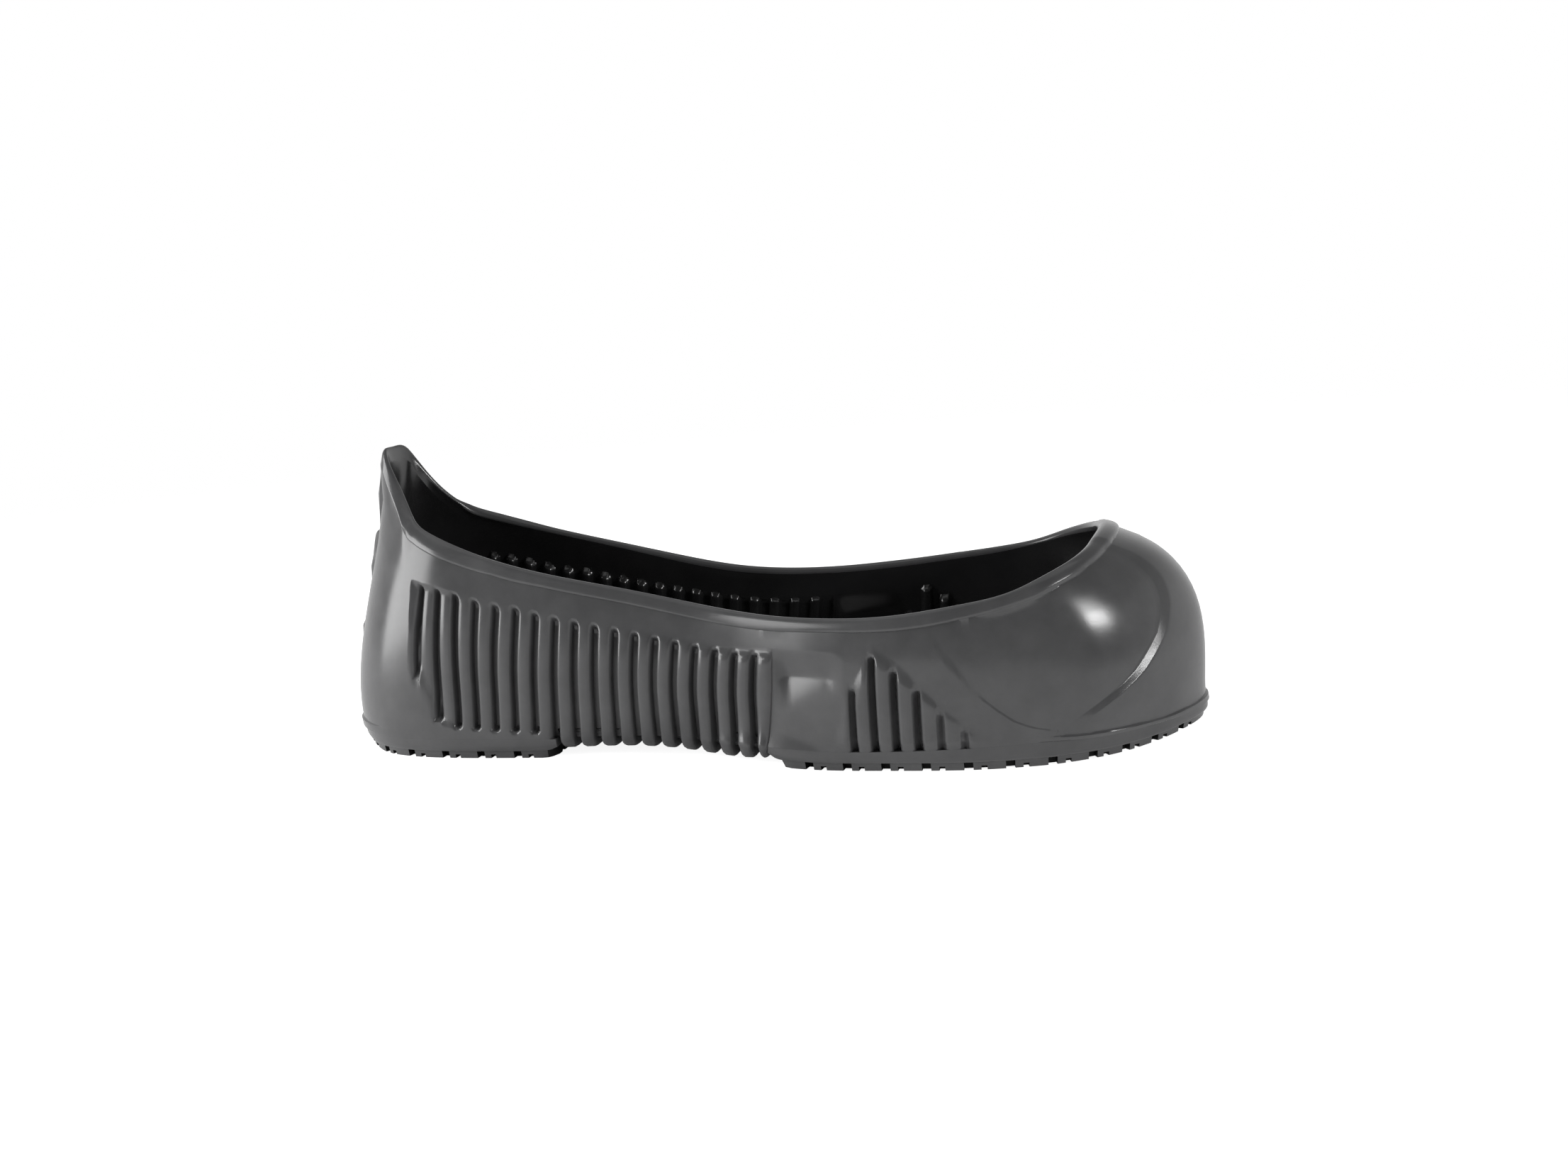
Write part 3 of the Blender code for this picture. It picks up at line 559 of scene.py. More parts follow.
heel_columns = np.concatenate([
    np.linspace(HEEL_BACK, HEEL_SPLIT[0], HEEL_COUNTS[0]),
    np.linspace(HEEL_SPLIT[1], RIB_FIRST - RIB_PITCH / 2, HEEL_COUNTS[1]),
])
rib_columns = groove_columns(RIB_FIRST, RIB_PITCH, RIB_COUNT)
rib_columns = rib_columns[rib_columns < RIB_FIRST + RIB_PITCH * (RIB_COUNT - 1) + LAST_COLUMN * RIB_HALF]
STEP_BEFORE = np.array((0.2, 0.4, 0.56, 0.7, 0.82, 0.9, 0.96, 0.99, 1))  # columns up to the last rib's edge
STEP_AFTER = np.array((0.02, 0.1, 0.25, 0.5, 0.75, 1))  # and after it
STEP_FROM = rib_columns[-1]
STEP_TO = 25.0
gap_columns = np.linspace(STEP_TO, FAN_FIRST - FAN_PITCH / 2, GAP_COUNT)[1:]
fan_columns = groove_columns(FAN_FIRST, FAN_PITCH, len(FAN_TOPS))
REAR = np.concatenate([heel_columns, rib_columns])
FRONT = np.concatenate([gap_columns, fan_columns])
EDGE_COLUMN = len(REAR) + len(STEP_BEFORE) - 1
STATIONS = np.concatenate([k + np.arange(1, n + 1) / n for k, n in enumerate(TOE_COUNTS)])
NOMINAL_SHARE = 0.5


def places_at(shares):
    """Place along the outline of every column, where column i is read at share shares[i]."""
    ribs = REAR - rib_lean(REAR, shares[:len(REAR)])
    share = shares[len(REAR):EDGE_COLUMN + 1]
    last = STEP_FROM - rib_lean(STEP_FROM, share)
    before = last + (read(PANEL_EDGE, share) - last) * STEP_BEFORE
    edge = read(PANEL_EDGE, shares[EDGE_COLUMN + 1:EDGE_COLUMN + 1 + len(STEP_AFTER)])
    after = edge + (STEP_TO - edge) * STEP_AFTER
    share = shares[-len(STATIONS) - len(FRONT):-len(STATIONS)]
    lean = FAN_LEAN * share * np.clip((FRONT - STEP_TO) / (FAN_FIRST - FAN_PITCH / 2 - STEP_TO), 0, 1)
    share = shares[-len(STATIONS):]
    front = read(TOE_FRONT, share)
    rear = np.minimum(np.maximum(read(TOE_REAR, share), REAR_LIMIT), front - 2 * (TOE_EDGE + TOE_LINE))
    marks = np.stack([FRONT[-1] + FAN_LEAN * share, rear - TOE_LINE, rear + TOE_LINE,
                      front - TOE_EDGE, front + TOE_EDGE, 0 * share + TOE_TIP])
    k = np.minimum(STATIONS.astype(int), len(TOE_COUNTS) - 1)
    part = STATIONS - k
    column = np.arange(len(STATIONS))
    toe = marks[k, column] * (1 - part) + marks[k + 1, column] * part
    return np.concatenate([ribs, before, after, FRONT + lean, toe])


COLUMNS = len(REAR) + len(STEP_BEFORE) + len(STEP_AFTER) + len(FRONT) + len(STATIONS)
NOMINAL = places_at(np.full(COLUMNS, NOMINAL_SHARE))
NOMINAL[:len(REAR)] = REAR
FOOT = places_at(np.zeros(COLUMNS))
RIM_DROPS = (0, 0.1, 0.35, 0.8, RIM_ROLL)  # rows of the rolled rim
BAND_PARTS = (0.25, 0.5, 0.7, 0.83, 0.92, 0.975, 1)  # rows of the band below it, as shares
BAND_UNDER = 0.6  # drop of the row below the band's crease
TOP_DROPS = (-1.2, -0.4, 0.3, 1.0, 1.8, 2.7, 3.8, 5.2)  # rows around the rib tops
SIDE_ROWS = 13  # steps between these and the foot
FOOT_RISES = (11.0, 9.4, 8.0, 6.8, 5.8, 5.0, 4.3, 3.8, 3.55, 3.33, 3.1, 2.2, 1.1, 0)


def row_shares():
    """Shares of the wall's height at the mesh's rows, from the rim down to the foot, for every column."""
    height = wall_height(NOMINAL)
    band = read(BAND, NOMINAL)
    top = read(RIB_TOP, NOMINAL)
    drops = [0 * height + drop for drop in RIM_DROPS]
    drops += [RIM_ROLL + (band - RIM_ROLL) * part for part in BAND_PARTS]
    drops += [band + BAND_UNDER, (band + top) / 2]
    drops += [top + drop for drop in TOP_DROPS]
    rises = [height - drop for drop in drops]
    low = FOOT_RISES[0]
    side = rises[-1] - low
    rises += [low + side * (1 - k / SIDE_ROWS) for k in range(1, SIDE_ROWS)]
    rises += [0 * height + rise for rise in FOOT_RISES]
    return np.array([rise / height for rise in rises])


ROWS = row_shares()
FOOT_ROW = len(ROWS) - 1
print("grid of one side:", len(ROWS), "rows and", COLUMNS, "columns")

# %% [markdown]
# ## The arch floor
# Under the waist the ribs wrap around and join both walls in a ribbed floor. Below, it is a quarter round
# and a shallow vault with grooves. Inside, it is flat, with a fillet against the wall.

# %% Arch rows
ARCH_REAR = -56.6  # in the groove in front of the heel
ARCH_ROUND = 6.0  # width of the round from wall to floor
ARCH_SLACK = 0.1  # columns this little behind it still belong to the arch
ARCH_TOP = 7.4
FOOT_HEIGHT = 7.0  # height of the wall's foot at the waist
ARCH_FILLET = 3.0
ARCH_TURNS = np.radians((15, 30, 45, 60, 75, 90))
ARCH_SHARES = (0.7, 0.35, 0.0)  # rows of the floor, as shares of its half width
# Underside of the arch floor: x, z
ARCH_UNDER = ((-57, 2.8), (-44, 3.5), (-32, 3.8), (-20, 3.4), (-7, 2.5), (4, 2.2), (13.5, 3.0),
              (15.2, 3.8), (16.2, 5.6))


def floor_rows(outside):
    """The arch floor's rows from the round at the wall to the middle, below or above."""
    foot = section_points(FOOT)[:, 0]
    rows = []
    if outside:
        place = upright(FOOT, 0)
        away = np.abs(place - RIB_FIRST - RIB_PITCH * groove_number(place, RIB_FIRST, RIB_PITCH, RIB_COUNT))
        proud = rib_proud(FOOT, 0) - RIB_DEPTH * slot_depth(away, RIB_FLOOR, RIB_HALF)
        sag = foot[:, 2] - read(ARCH_UNDER, foot[:, 0])
        reach = ARCH_ROUND
    else:
        foot = foot - (0, WALL, 0) + (0, 0, 1) * (ARCH_TOP + ARCH_FILLET - foot[:, 2:])
        proud = 0 * FOOT
        sag = ARCH_FILLET + 0 * FOOT
        reach = ARCH_FILLET
    for turn in ARCH_TURNS:
        half_width = foot[:, 1] - reach * (1 - np.cos(turn)) + proud * np.cos(turn)
        rows.append(np.stack([foot[:, 0], -half_width, foot[:, 2] - (sag + proud) * np.sin(turn)], axis=1))
    edge = rows[-1]
    rows += [edge * (1, part, 1) for part in ARCH_SHARES]
    return np.array(rows)


def in_arch(column):
    """True for the columns that the arch floor joins."""
    return (FOOT[column] > ARCH_REAR - ARCH_SLACK) & (column <= EDGE_COLUMN)


def wall_rows(outside):
    """One face of the near wall as an array (rows, columns, xyz). Inside, it ends above the arch's fillet."""
    lift = (ARCH_TOP + ARCH_FILLET - FOOT_HEIGHT) / wall_height(NOMINAL)
    lift = np.where(in_arch(np.arange(COLUMNS)), lift, 0)
    grid = []
    for shares in ROWS:
        if not outside:
            shares = lift + (1 - lift) * shares
        points = face(places_at(shares), shares, outside)
        points[[0, -1], 1] = 0
        grid.append(points)
    return np.array(grid)


def whole_grid(outside):
    """All rows of a face: near rim, near foot, middle of the floor, far foot and far rim."""
    half = np.concatenate([wall_rows(outside), floor_rows(outside)])
    grid = np.concatenate([half, half[-2::-1] * (1, -1, 1)])
    grid[:, :, 0] -= MIDDLE
    return grid * MM


outside_grid = whole_grid(True)
inside_grid = whole_grid(False)
print("whole face:", outside_grid.shape[0], "rows")

# %% [markdown]
# ## The upper
# One flat grid is laid on the outer face. The parts of the floor that the soles close are deleted, and
# the near and the far side are welded at heel and toe. Then the sheet is extruded as a whole, and the
# copy is moved to the inner face: the wall gets its thickness and its edges in one step. Below the rolled
# rim, the inside becomes a second material slot, whose near-black rubber paints in the inside's shade.

# %% Upper mesh
SHORTEST_EDGE = 0.004 * MM
SHARP = math.radians(50)
# Rows of the rolled rim that keep the outer rubber, below which the inside's painted shade begins: on the
# tab, along the collar
ROLL_ROWS = (1, 4)


def grid_mesh(columns, rows):
    """A plain grid whose vertices carry their column and row as integer layers."""
    bm = bmesh.new()
    bmesh.ops.create_grid(bm, x_segments=columns - 1, y_segments=rows - 1, size=1)
    column = bm.verts.layers.int.new("column")
    row = bm.verts.layers.int.new("row")
    for vert in bm.verts:
        vert[column] = round((vert.co.x + 1) / 2 * (columns - 1))
        vert[row] = round((vert.co.y + 1) / 2 * (rows - 1))
    return bm, column, row


def new_object(name, data):
    """An object in the scene, made from its data or from a bmesh."""
    if isinstance(data, bmesh.types.BMesh):
        mesh = bpy.data.meshes.new(name)
        data.to_mesh(mesh)
        data.free()
        data = mesh
    made = bpy.data.objects.new(name, data)
    bpy.context.scene.collection.objects.link(made)
    return made


def finish_piece(name, bm):
    """Turn a bmesh into a smooth-shaded object in the scene."""
    piece = new_object(name, bm)
    piece.data.shade_smooth()
    piece.data.set_sharp_from_angle(angle=SHARP)
    print(name, sum(len(polygon.vertices) - 2 for polygon in piece.data.polygons), "triangles")
    return piece


def make_upper():
    """Outer face as one sheet, open at heel and forefoot below, then a wall grown to the inner face."""
    last_row = len(outside_grid) - 1
    bm, column, row = grid_mesh(COLUMNS, last_row + 1)
    side = bm.verts.layers.int.new("side")
    for vert in bm.verts:
        vert.co = outside_grid[vert[row], vert[column]]
    open_floor = []
    for sheet_face in bm.faces:
        rows = [min(vert[row], last_row - vert[row]) for vert in sheet_face.verts]
        if max(rows) > FOOT_ROW and not all(in_arch(vert[column]) for vert in sheet_face.verts):
            open_floor.append(sheet_face)
    bmesh.ops.delete(bm, geom=open_floor, context="FACES")
    bmesh.ops.remove_doubles(bm, verts=bm.verts, dist=SHORTEST_EDGE)
    bmesh.ops.recalc_face_normals(bm, faces=bm.faces)
    grown = bmesh.ops.extrude_face_region(bm, geom=bm.faces[:], use_keep_orig=True)["geom"]
    for vert in grown:
        if isinstance(vert, bmesh.types.BMVert):
            vert.co = inside_grid[vert[row], vert[column]]
            roll = ROLL_ROWS[int(vert.co.x > TAB_END[1] * MM)]
            vert[side] = min(vert[row], last_row - vert[row]) >= roll
    bmesh.ops.remove_doubles(bm, verts=bm.verts, dist=SHORTEST_EDGE)
    bmesh.ops.recalc_face_normals(bm, faces=bm.faces)
    # The inside's faces take the second slot, whose near-black rubber is painted shade.
    for wall_face in bm.faces:
        wall_face.material_index = int(all(vert[side] for vert in wall_face.verts))
    return finish_piece("rubber_upper", bm)


upper_piece = make_upper()

# %% [markdown]
# ## The sole units
# Each sole unit starts as a plate on one solid block. Its side follows the foot of the wall, swells a
# little and draws in towards the tread. The block stands back a little, tapers, and has round corners in
# plan. It is a grid that is bent around the outline, with its two ends filled.

# %% Sole blanks
GAP = 0.01  # clearance where two pieces meet
TOE_LINE_GAP = 0.25  # wider parting line around the toe
TOE_LINE_GROWS = (112, 130)  # places between which it grows
SOLE_STEP = 2.5  # distance of the columns
LUG_INSET = 1.1  # how far the lugs stand back from the side
LUG_TAPER = 0.4
SIDE_LEAN = (-0.15, 0.2)  # limits of the side's slope, which follows the wall's
# Side of the plate below its top edge: offset outwards, height over the lugs as a share of half the plate
SIDE_PROFILE = ((0, 1.0), (-0.1, 0.4), (-0.35, 0.13))
# Underside of the plate, where the lugs begin: x, z
HEEL_ROOT = ((-146, 4.7), (-136, 3.1), (-130, 2.5), (-65, 2.5), (-62, 3.1), (-60, 4.0), (-58.9, 4.7))
FORE_ROOT = ((16.2, 4.4), (17.2, 3.5), (18.6, 2.9), (20.4, 2.6), (24, 2.5), (104, 2.5), (128, 3.3),
             (140, 4.2), (150, 5.1))
# Height of the lugs: x, height
HEEL_LUGS = ((-146, 2.2), (-130, 2.5), (-65, 2.5), (-62, 3.1), (-61.5, 3.3), (-61.1, 0.1))
FORE_LUGS = ((19.6, 0.1), (21.0, 2.5), (104, 2.5), (150, 2.0))
# Round corners of the tread in plan: x, inset
HEEL_CORNER = ((-66, 0), (-64.2, 0.6), (-63, 2), (-62, 4.5), (-61.3, 8))
FORE_CORNER = ((19.6, 1.0), (22, 0))
# Columns at the heel's breast and at the rear edge of the forefoot, where the outline turns
BREAST = (-65.0, (-62.5, -60.7, -59.5, -58.5, -57.8, -57.5))
FORE_REAR = ((17.2, 18.4, 19.6), 21.0)


def sole_blank(name, along, root, lugs, corner):
    """A sole unit before the gaps are cut."""
    foot = wall(along)
    outward = wall_normal(along)
    flat = np.hypot(outward[:, 0], outward[:, 1])
    lean = np.clip(outward[:, 2] / flat, *SIDE_LEAN)
    outward = outward * (1, 1, 0) / flat[:, None]
    top = foot[:, 2] - GAP - TOE_LINE_GAP * ramp(along, *TOE_LINE_GROWS)
    under = read(root, foot[:, 0])
    side = (top - under) / 2
    inset = LUG_INSET + read(corner, foot[:, 0])
    sides = [(0, top)]
    sides += [(offset, under + part * side) for offset, part in SIDE_PROFILE]
    sides += [(-inset, under)]
    levels = []
    for offset, height in sides:
        down = (top - height) / (top - under)
        points = foot + outward * (offset + lean * (top - height) * (1 - down / 2))[:, None]
        points[:, 2] = height
        levels.append(points)
    bottom = levels[-1] - outward * LUG_TAPER
    bottom[:, 2] = under - read(lugs, bottom[:, 0])
    levels.append(bottom)
    near = np.array(levels)
    near[np.abs(near) < TINY] = 0
    loop = np.concatenate([near, near[::-1] * (1, -1, 1), near[:1]])
    loop[:, :, 0] -= MIDDLE
    bm, column, row = grid_mesh(len(along), len(loop))
    for vert in bm.verts:
        vert.co = loop[vert[row], vert[column]] * MM
    bmesh.ops.remove_doubles(bm, verts=bm.verts, dist=SHORTEST_EDGE)
    bmesh.ops.holes_fill(bm, edges=[edge for edge in bm.edges if edge.is_boundary])
    bmesh.ops.recalc_face_normals(bm, faces=bm.faces)
    return finish_piece(name, bm)


def even_places(start, end):
    """Evenly spaced places along the outline."""
    return np.linspace(start, end, 1 + round(abs(end - start) / SOLE_STEP))


heel_places = np.concatenate([even_places(HEEL_BACK, BREAST[0]), BREAST[1], [ARCH_REAR - GAP]])
fore_places = np.concatenate([[PANEL_END + GAP], FORE_REAR[0], even_places(FORE_REAR[1], TOE_TIP)])
heel_piece = sole_blank("heel_tread", heel_places, HEEL_ROOT, HEEL_LUGS, HEEL_CORNER)
fore_piece = sole_blank("forefoot_tread", fore_places, FORE_ROOT, FORE_LUGS, FORE_CORNER)

# %% [markdown]
# ## The tread
# The middle of the tread is cut with one lattice per sole, whose gaps are staggered from row to row. The
# outer row of lugs has pockets, and between them half-deep notches. A boolean is the plain way to cut a
# tread, and it is applied so that the mesh is final.

# %% Tread cutters
SCALE = Matrix.Scale(MM, 4)
TREAD_DEPTH = 2.5
LUG_GAP = 2.8
LUG_CHANNEL = 2.4
LUG_RIM = 6.5  # width of the outer row of lugs
HEEL_CHANNELS = 10.0 * np.arange(-2.5, 3)
FORE_CHANNELS = 11.0 * np.arange(-3.5, 4)
POCKET_DEEP = 4.0  # how far the gaps reach in from the side
NOTCH_WIDE = 1.8
NOTCH_SHARE = 0.55  # height of a notch as a share of the lugs
NOTCH_AFTER = 4.6  # how far a notch lies in front of its gap
# Gaps across the sole: first gap, pitch, count
HEEL_GAPS = (-152.1, 13.5, 7)
FORE_GAPS = (29.5, 12.3, 11)


def add_box(bm, middle, size, turn=0.0):
    """Add a box in millimetres, in the section table's coordinates, turned about the upright axis."""
    place = Matrix.Translation(((middle[0] - MIDDLE) * MM, middle[1] * MM, middle[2] * MM))
    turned = place @ Matrix.Rotation(turn, 4, "Z")
    bmesh.ops.create_cube(bm, size=1, matrix=turned @ Matrix.Diagonal((*size, 1)) @ SCALE)


def channel_bars(places, channels):
    """Cutter for the channels along the middle of the tread."""
    side = wall(places)
    bm = bmesh.new()
    for y in channels:
        inside = side[-side[:, 1] - LUG_RIM > abs(y) + LUG_CHANNEL / 2, 0]
        middle = (inside.min() + inside.max()) / 2
        add_box(bm, (middle, y, 0), (inside.max() - inside.min(), LUG_CHANNEL, 2 * TREAD_DEPTH))
    return bm


def staggered_gaps(places, channels, gaps, root):
    """Cutter for the gaps between two channels, staggered from row to row."""
    first, pitch, count = gaps
    side = wall(places)
    width = channels[1] - channels[0]
    bm = bmesh.new()
    for j, y in enumerate((channels[1:] + channels[:-1]) / 2):
        for x in first + pitch * (np.arange(count) + j % 2 / 2):
            half_width = np.interp(x, side[:, 0], -side[:, 1], left=0, right=0) - LUG_RIM
            if half_width > abs(y) + width / 2:
                top = float(read(root, x))
                add_box(bm, (x, y, (top - TREAD_DEPTH) / 2), (LUG_GAP, width, top + TREAD_DEPTH))
    return bm


def side_pockets(gaps, root, lugs):
    """Cutter for the sides of the tread: a deep pocket at each gap, and a narrower half-deep one after it."""
    first, pitch, count = gaps
    bm = bmesh.new()
    for start, width, share in ((first, LUG_GAP, 1.0), (first + NOTCH_AFTER, NOTCH_WIDE, NOTCH_SHARE)):
        along = start + pitch * np.arange(count)
        foot = wall(along)
        outward = wall_normal(along)
        top = read(root, foot[:, 0]) - (1 - share) * read(lugs, foot[:, 0])
        for place, normal, height in zip(foot, outward, top):
            for mirror in (1, -1):
                middle = (place[0], mirror * place[1], (height - TREAD_DEPTH) / 2)
                size = (2 * POCKET_DEEP, width, height + TREAD_DEPTH)
                add_box(bm, middle, size, math.atan2(mirror * normal[1], normal[0]))
    return bm


def cut(piece, cutter_bm):
    """Cut a shape out of a piece and keep the result as its mesh."""
    cutter = new_object("cutter", cutter_bm)
    modifier = piece.modifiers.new("cut", "BOOLEAN")
    modifier.operation = "DIFFERENCE"
    modifier.solver = "EXACT"
    modifier.object = cutter
    seen = piece.evaluated_get(bpy.context.evaluated_depsgraph_get())
    done = bpy.data.meshes.new_from_object(seen)
    piece.modifiers.clear()
    piece.data = done
    bpy.data.objects.remove(cutter)
    done.shade_smooth()
    done.set_sharp_from_angle(angle=SHARP)


print("gaps along each side:", HEEL_GAPS[2], "and", FORE_GAPS[2])

# %% [markdown]
# ## Cut and shaded tread
# Both soles are cut in the same way. On the real tread so little light gets into the gaps that they look
# black, so the faces behind the sides of the lugs go into a second material slot: a near-black rubber
# that paints in this shade. Such a face is known by its distance from the outline.

# %% Cut the soles
# faces deeper than this get the painted shade of the second slot
SHADE_DEEP = 1.1  # how far behind the sides of the lugs the second slot begins
TIP_FACING = -0.7  # a low face that looks down more than this is the tip of a lug
OUTLINE_POINTS = 500


def shade_gaps(piece, places, root):
    """Second material slot, near-black rubber that paints in shade, for the faces inside the tread. Tips and
    sides of the lugs keep the first.
    """
    along = np.linspace(places.min(), places.max(), OUTLINE_POINTS)
    foot = wall(along)
    for tread_face in piece.data.polygons:
        x, y, z = np.array(tread_face.center) / MM
        x += MIDDLE
        below = float(read(root, x)) - z
        deep = np.hypot(foot[:, 0] - x, foot[:, 1] + abs(y)).min()
        tip = tread_face.normal.z < TIP_FACING and below > TREAD_DEPTH / 2
        tread_face.material_index = int(deep > LUG_INSET + SHADE_DEEP and below > -GAP and not tip)


for piece, places, channels, gaps, root, lugs in (
    (heel_piece, heel_places, HEEL_CHANNELS, HEEL_GAPS, HEEL_ROOT, HEEL_LUGS),
    (fore_piece, fore_places, FORE_CHANNELS, FORE_GAPS, FORE_ROOT, FORE_LUGS),
):
    cut(piece, side_pockets(gaps, root, lugs))
    cut(piece, channel_bars(places, channels))
    cut(piece, staggered_gaps(places, channels, gaps, root))
    shade_gaps(piece, places, root)
    print(piece.name, len(piece.data.polygons), "faces after the cuts")

# %% [markdown]
# ## Rubber
# Moulded rubber is not one flat grey. It has a fine grain from the mould, slow changes of tone where the
# compound flowed, and a shine that varies with them. The grain is a node group, because all the rubbers
# share it: it puts out a slow mottle and a fine height. The shader stays in each material, with its own
# values. The inside and the gaps of the tread lie in deep shade, so they get much darker rubbers that
# paint that shade in: the inside has more shine, which shows its bumps, and the gaps have less.

# %% Grain group
# input for the scale, output, detail, roughness
GRAIN_NOISES = (("Fine Scale", "Height", 3, 0.6), ("Mottle Scale", "Mottle", 4, 0.55))


def fill_in(node, **values):
    """Set inputs of a node. The spaces in their names are written as underscores."""
    for name, value in values.items():
        node.inputs[name.replace("_", " ")].default_value = value


def link(tree, source, output, target, into):
    """Link an output of one node to an input of another."""
    tree.links.new(source.outputs[output], target.inputs[into])


def grain_group():
    """Shader node group with a slow mottle and a fine height, read in object space."""
    group = bpy.data.node_groups.new("rubber grain", "ShaderNodeTree")
    inputs = group.nodes.new("NodeGroupInput")
    outputs = group.nodes.new("NodeGroupOutput")
    place = group.nodes.new("ShaderNodeTexCoord")
    for scale, output, detail, roughness in GRAIN_NOISES:
        group.interface.new_socket(scale, in_out="INPUT", socket_type="NodeSocketFloat")
        group.interface.new_socket(output, in_out="OUTPUT", socket_type="NodeSocketFloat")
        noise = group.nodes.new("ShaderNodeTexNoise")
        fill_in(noise, Detail=detail, Roughness=roughness)
        link(group, place, "Object", noise, "Vector")
        link(group, inputs, scale, noise, "Scale")
        link(group, noise, "Fac", outputs, output)
    return group


grain = grain_group()
print("group:", grain.name)

# %% Rubber materials
RUBBER_IOR = 1.52
MOTTLE_SCALE = 90
MOTTLE_RANGE = (0.3, 0.7)  # values of the mottle that get the darkest and the lightest tone
GRAIN_HEIGHT = 0.0001
GREYS = ((0.078, 0.078, 0.08), (0.096, 0.096, 0.098))
# painted shade: the inside's rubber is made near black because the inside lies in shadow
INNER_SHADE_GREYS = ((0.017, 0.017, 0.0175), (0.023, 0.023, 0.0235))
# painted shade: the tread's gaps are made near black because little light gets into them
GAP_SHADE_GREYS = ((0.007, 0.007, 0.007), (0.011, 0.011, 0.011))


def new_material(name):
    """A material with its node tree and its shader."""
    material = bpy.data.materials.new(name)
    material.use_nodes = True
    return material, material.node_tree, material.node_tree.nodes["Principled BSDF"]


def map_range(tree, source, output, before, after, smooth=False):
    """A node that maps an output's values from one range to another."""
    node = tree.nodes.new("ShaderNodeMapRange")
    if smooth:
        node.interpolation_type = "SMOOTHSTEP"
    fill_in(node, From_Min=before[0], From_Max=before[1], To_Min=after[0], To_Max=after[1])
    link(tree, source, output, node, "Value")
    return node


def rubber(name, greys, rough, fine_scale, bump, shine):
    """Moulded rubber: mottled between two greys and two roughnesses, with a fine grain."""
    material, tree, shader = new_material(name)
    fill_in(shader, Metallic=0, IOR=RUBBER_IOR, Specular_IOR_Level=shine)
    grained = tree.nodes.new("ShaderNodeGroup")
    grained.node_tree = grain
    fill_in(grained, Fine_Scale=fine_scale, Mottle_Scale=MOTTLE_SCALE)
    tone = tree.nodes.new("ShaderNodeValToRGB")
    for stop, position, grey in zip(tone.color_ramp.elements, MOTTLE_RANGE, greys):
        stop.position = position
        stop.color = (*grey, 1)
    link(tree, grained, "Mottle", tone, "Fac")
    link(tree, tone, "Color", shader, "Base Color")
    varied = map_range(tree, grained, "Mottle", MOTTLE_RANGE, rough)
    link(tree, varied, "Result", shader, "Roughness")
    relief = tree.nodes.new("ShaderNodeBump")
    fill_in(relief, Strength=bump, Distance=GRAIN_HEIGHT)
    link(tree, grained, "Height", relief, "Height")
    link(tree, relief, "Normal", shader, "Normal")
    return material


upper_rubber = rubber("upper rubber", GREYS, (0.17, 0.22), 2200, 0.12, 0.5)
sole_rubber = rubber("sole rubber", GREYS, (0.2, 0.26), 1800, 0.2, 0.5)
# the inner and the gap rubber are near black only to paint in shade
inner_shade_rubber = rubber("inner painted shade rubber", INNER_SHADE_GREYS, (0.2, 0.26), 1800, 0.2, 0.9)
gap_shade_rubber = rubber("gap painted shade rubber", GAP_SHADE_GREYS, (0.5, 0.6), 1800, 0.2, 0.2)
print("materials:", upper_rubber.name, sole_rubber.name, inner_shade_rubber.name, gap_shade_rubber.name)

# %% [markdown]
# ## Joining the frame
# Each piece rides on the one body, stands for its CAD solid and gets its rubbers.

# %% Ride and replace
for piece, node, slot, materials in (
    (upper_piece, "upper", "upper_rubber", (upper_rubber, inner_shade_rubber)),
    (heel_piece, "heel_sole", "sole_rubber", (sole_rubber, gap_shade_rubber)),
    (fore_piece, "forefoot_sole", "sole_rubber", (sole_rubber, gap_shade_rubber)),
):
    for material in materials:
        piece.data.materials.append(material)
    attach(piece, "root")
    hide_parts(node)
    print(piece.name, "stands for", node)

# %% [markdown]
# ## Floor and light
# The shoe stands on a plain white light table that fades into a white background. Soft boxes left and
# right of the camera draw the highlights, a weak one hangs above, and a white screen stands behind.
# Little light comes from the camera's side, and the table lies in shade under the shoe, so the grooves,
# the inside and the tread stay dark.

# %% Floor
FLOOR_RADIUS = 1.6
FLOOR_SEGMENTS = 96
FLOOR_WHITE = (0.86, 0.86, 0.86, 1)
FLOOR_ROUGH = 0.7
FLOOR_FADE = (0.35, 1.2)  # distances between which the table fades into the background
FLOOR_GLOW = (0.36, 0.9)  # the table is lit from below: its light on the shoe, and its look
SHADE_SIZE = (0.15, 0.056, 1)  # half length and half width of the shade under the shoe
SHADE_EDGE = (0.85, 1.05)  # where the shade ends, as a share of its size
SHADE_GLOW = 0.02  # the table's light in the shade


def vector_math(tree, operation, source, output, by=(0, 0, 0)):
    """A node that works on an output's vector."""
    node = tree.nodes.new("ShaderNodeVectorMath")
    node.operation = operation
    node.inputs[1].default_value = by
    link(tree, source, output, node, 0)
    return node


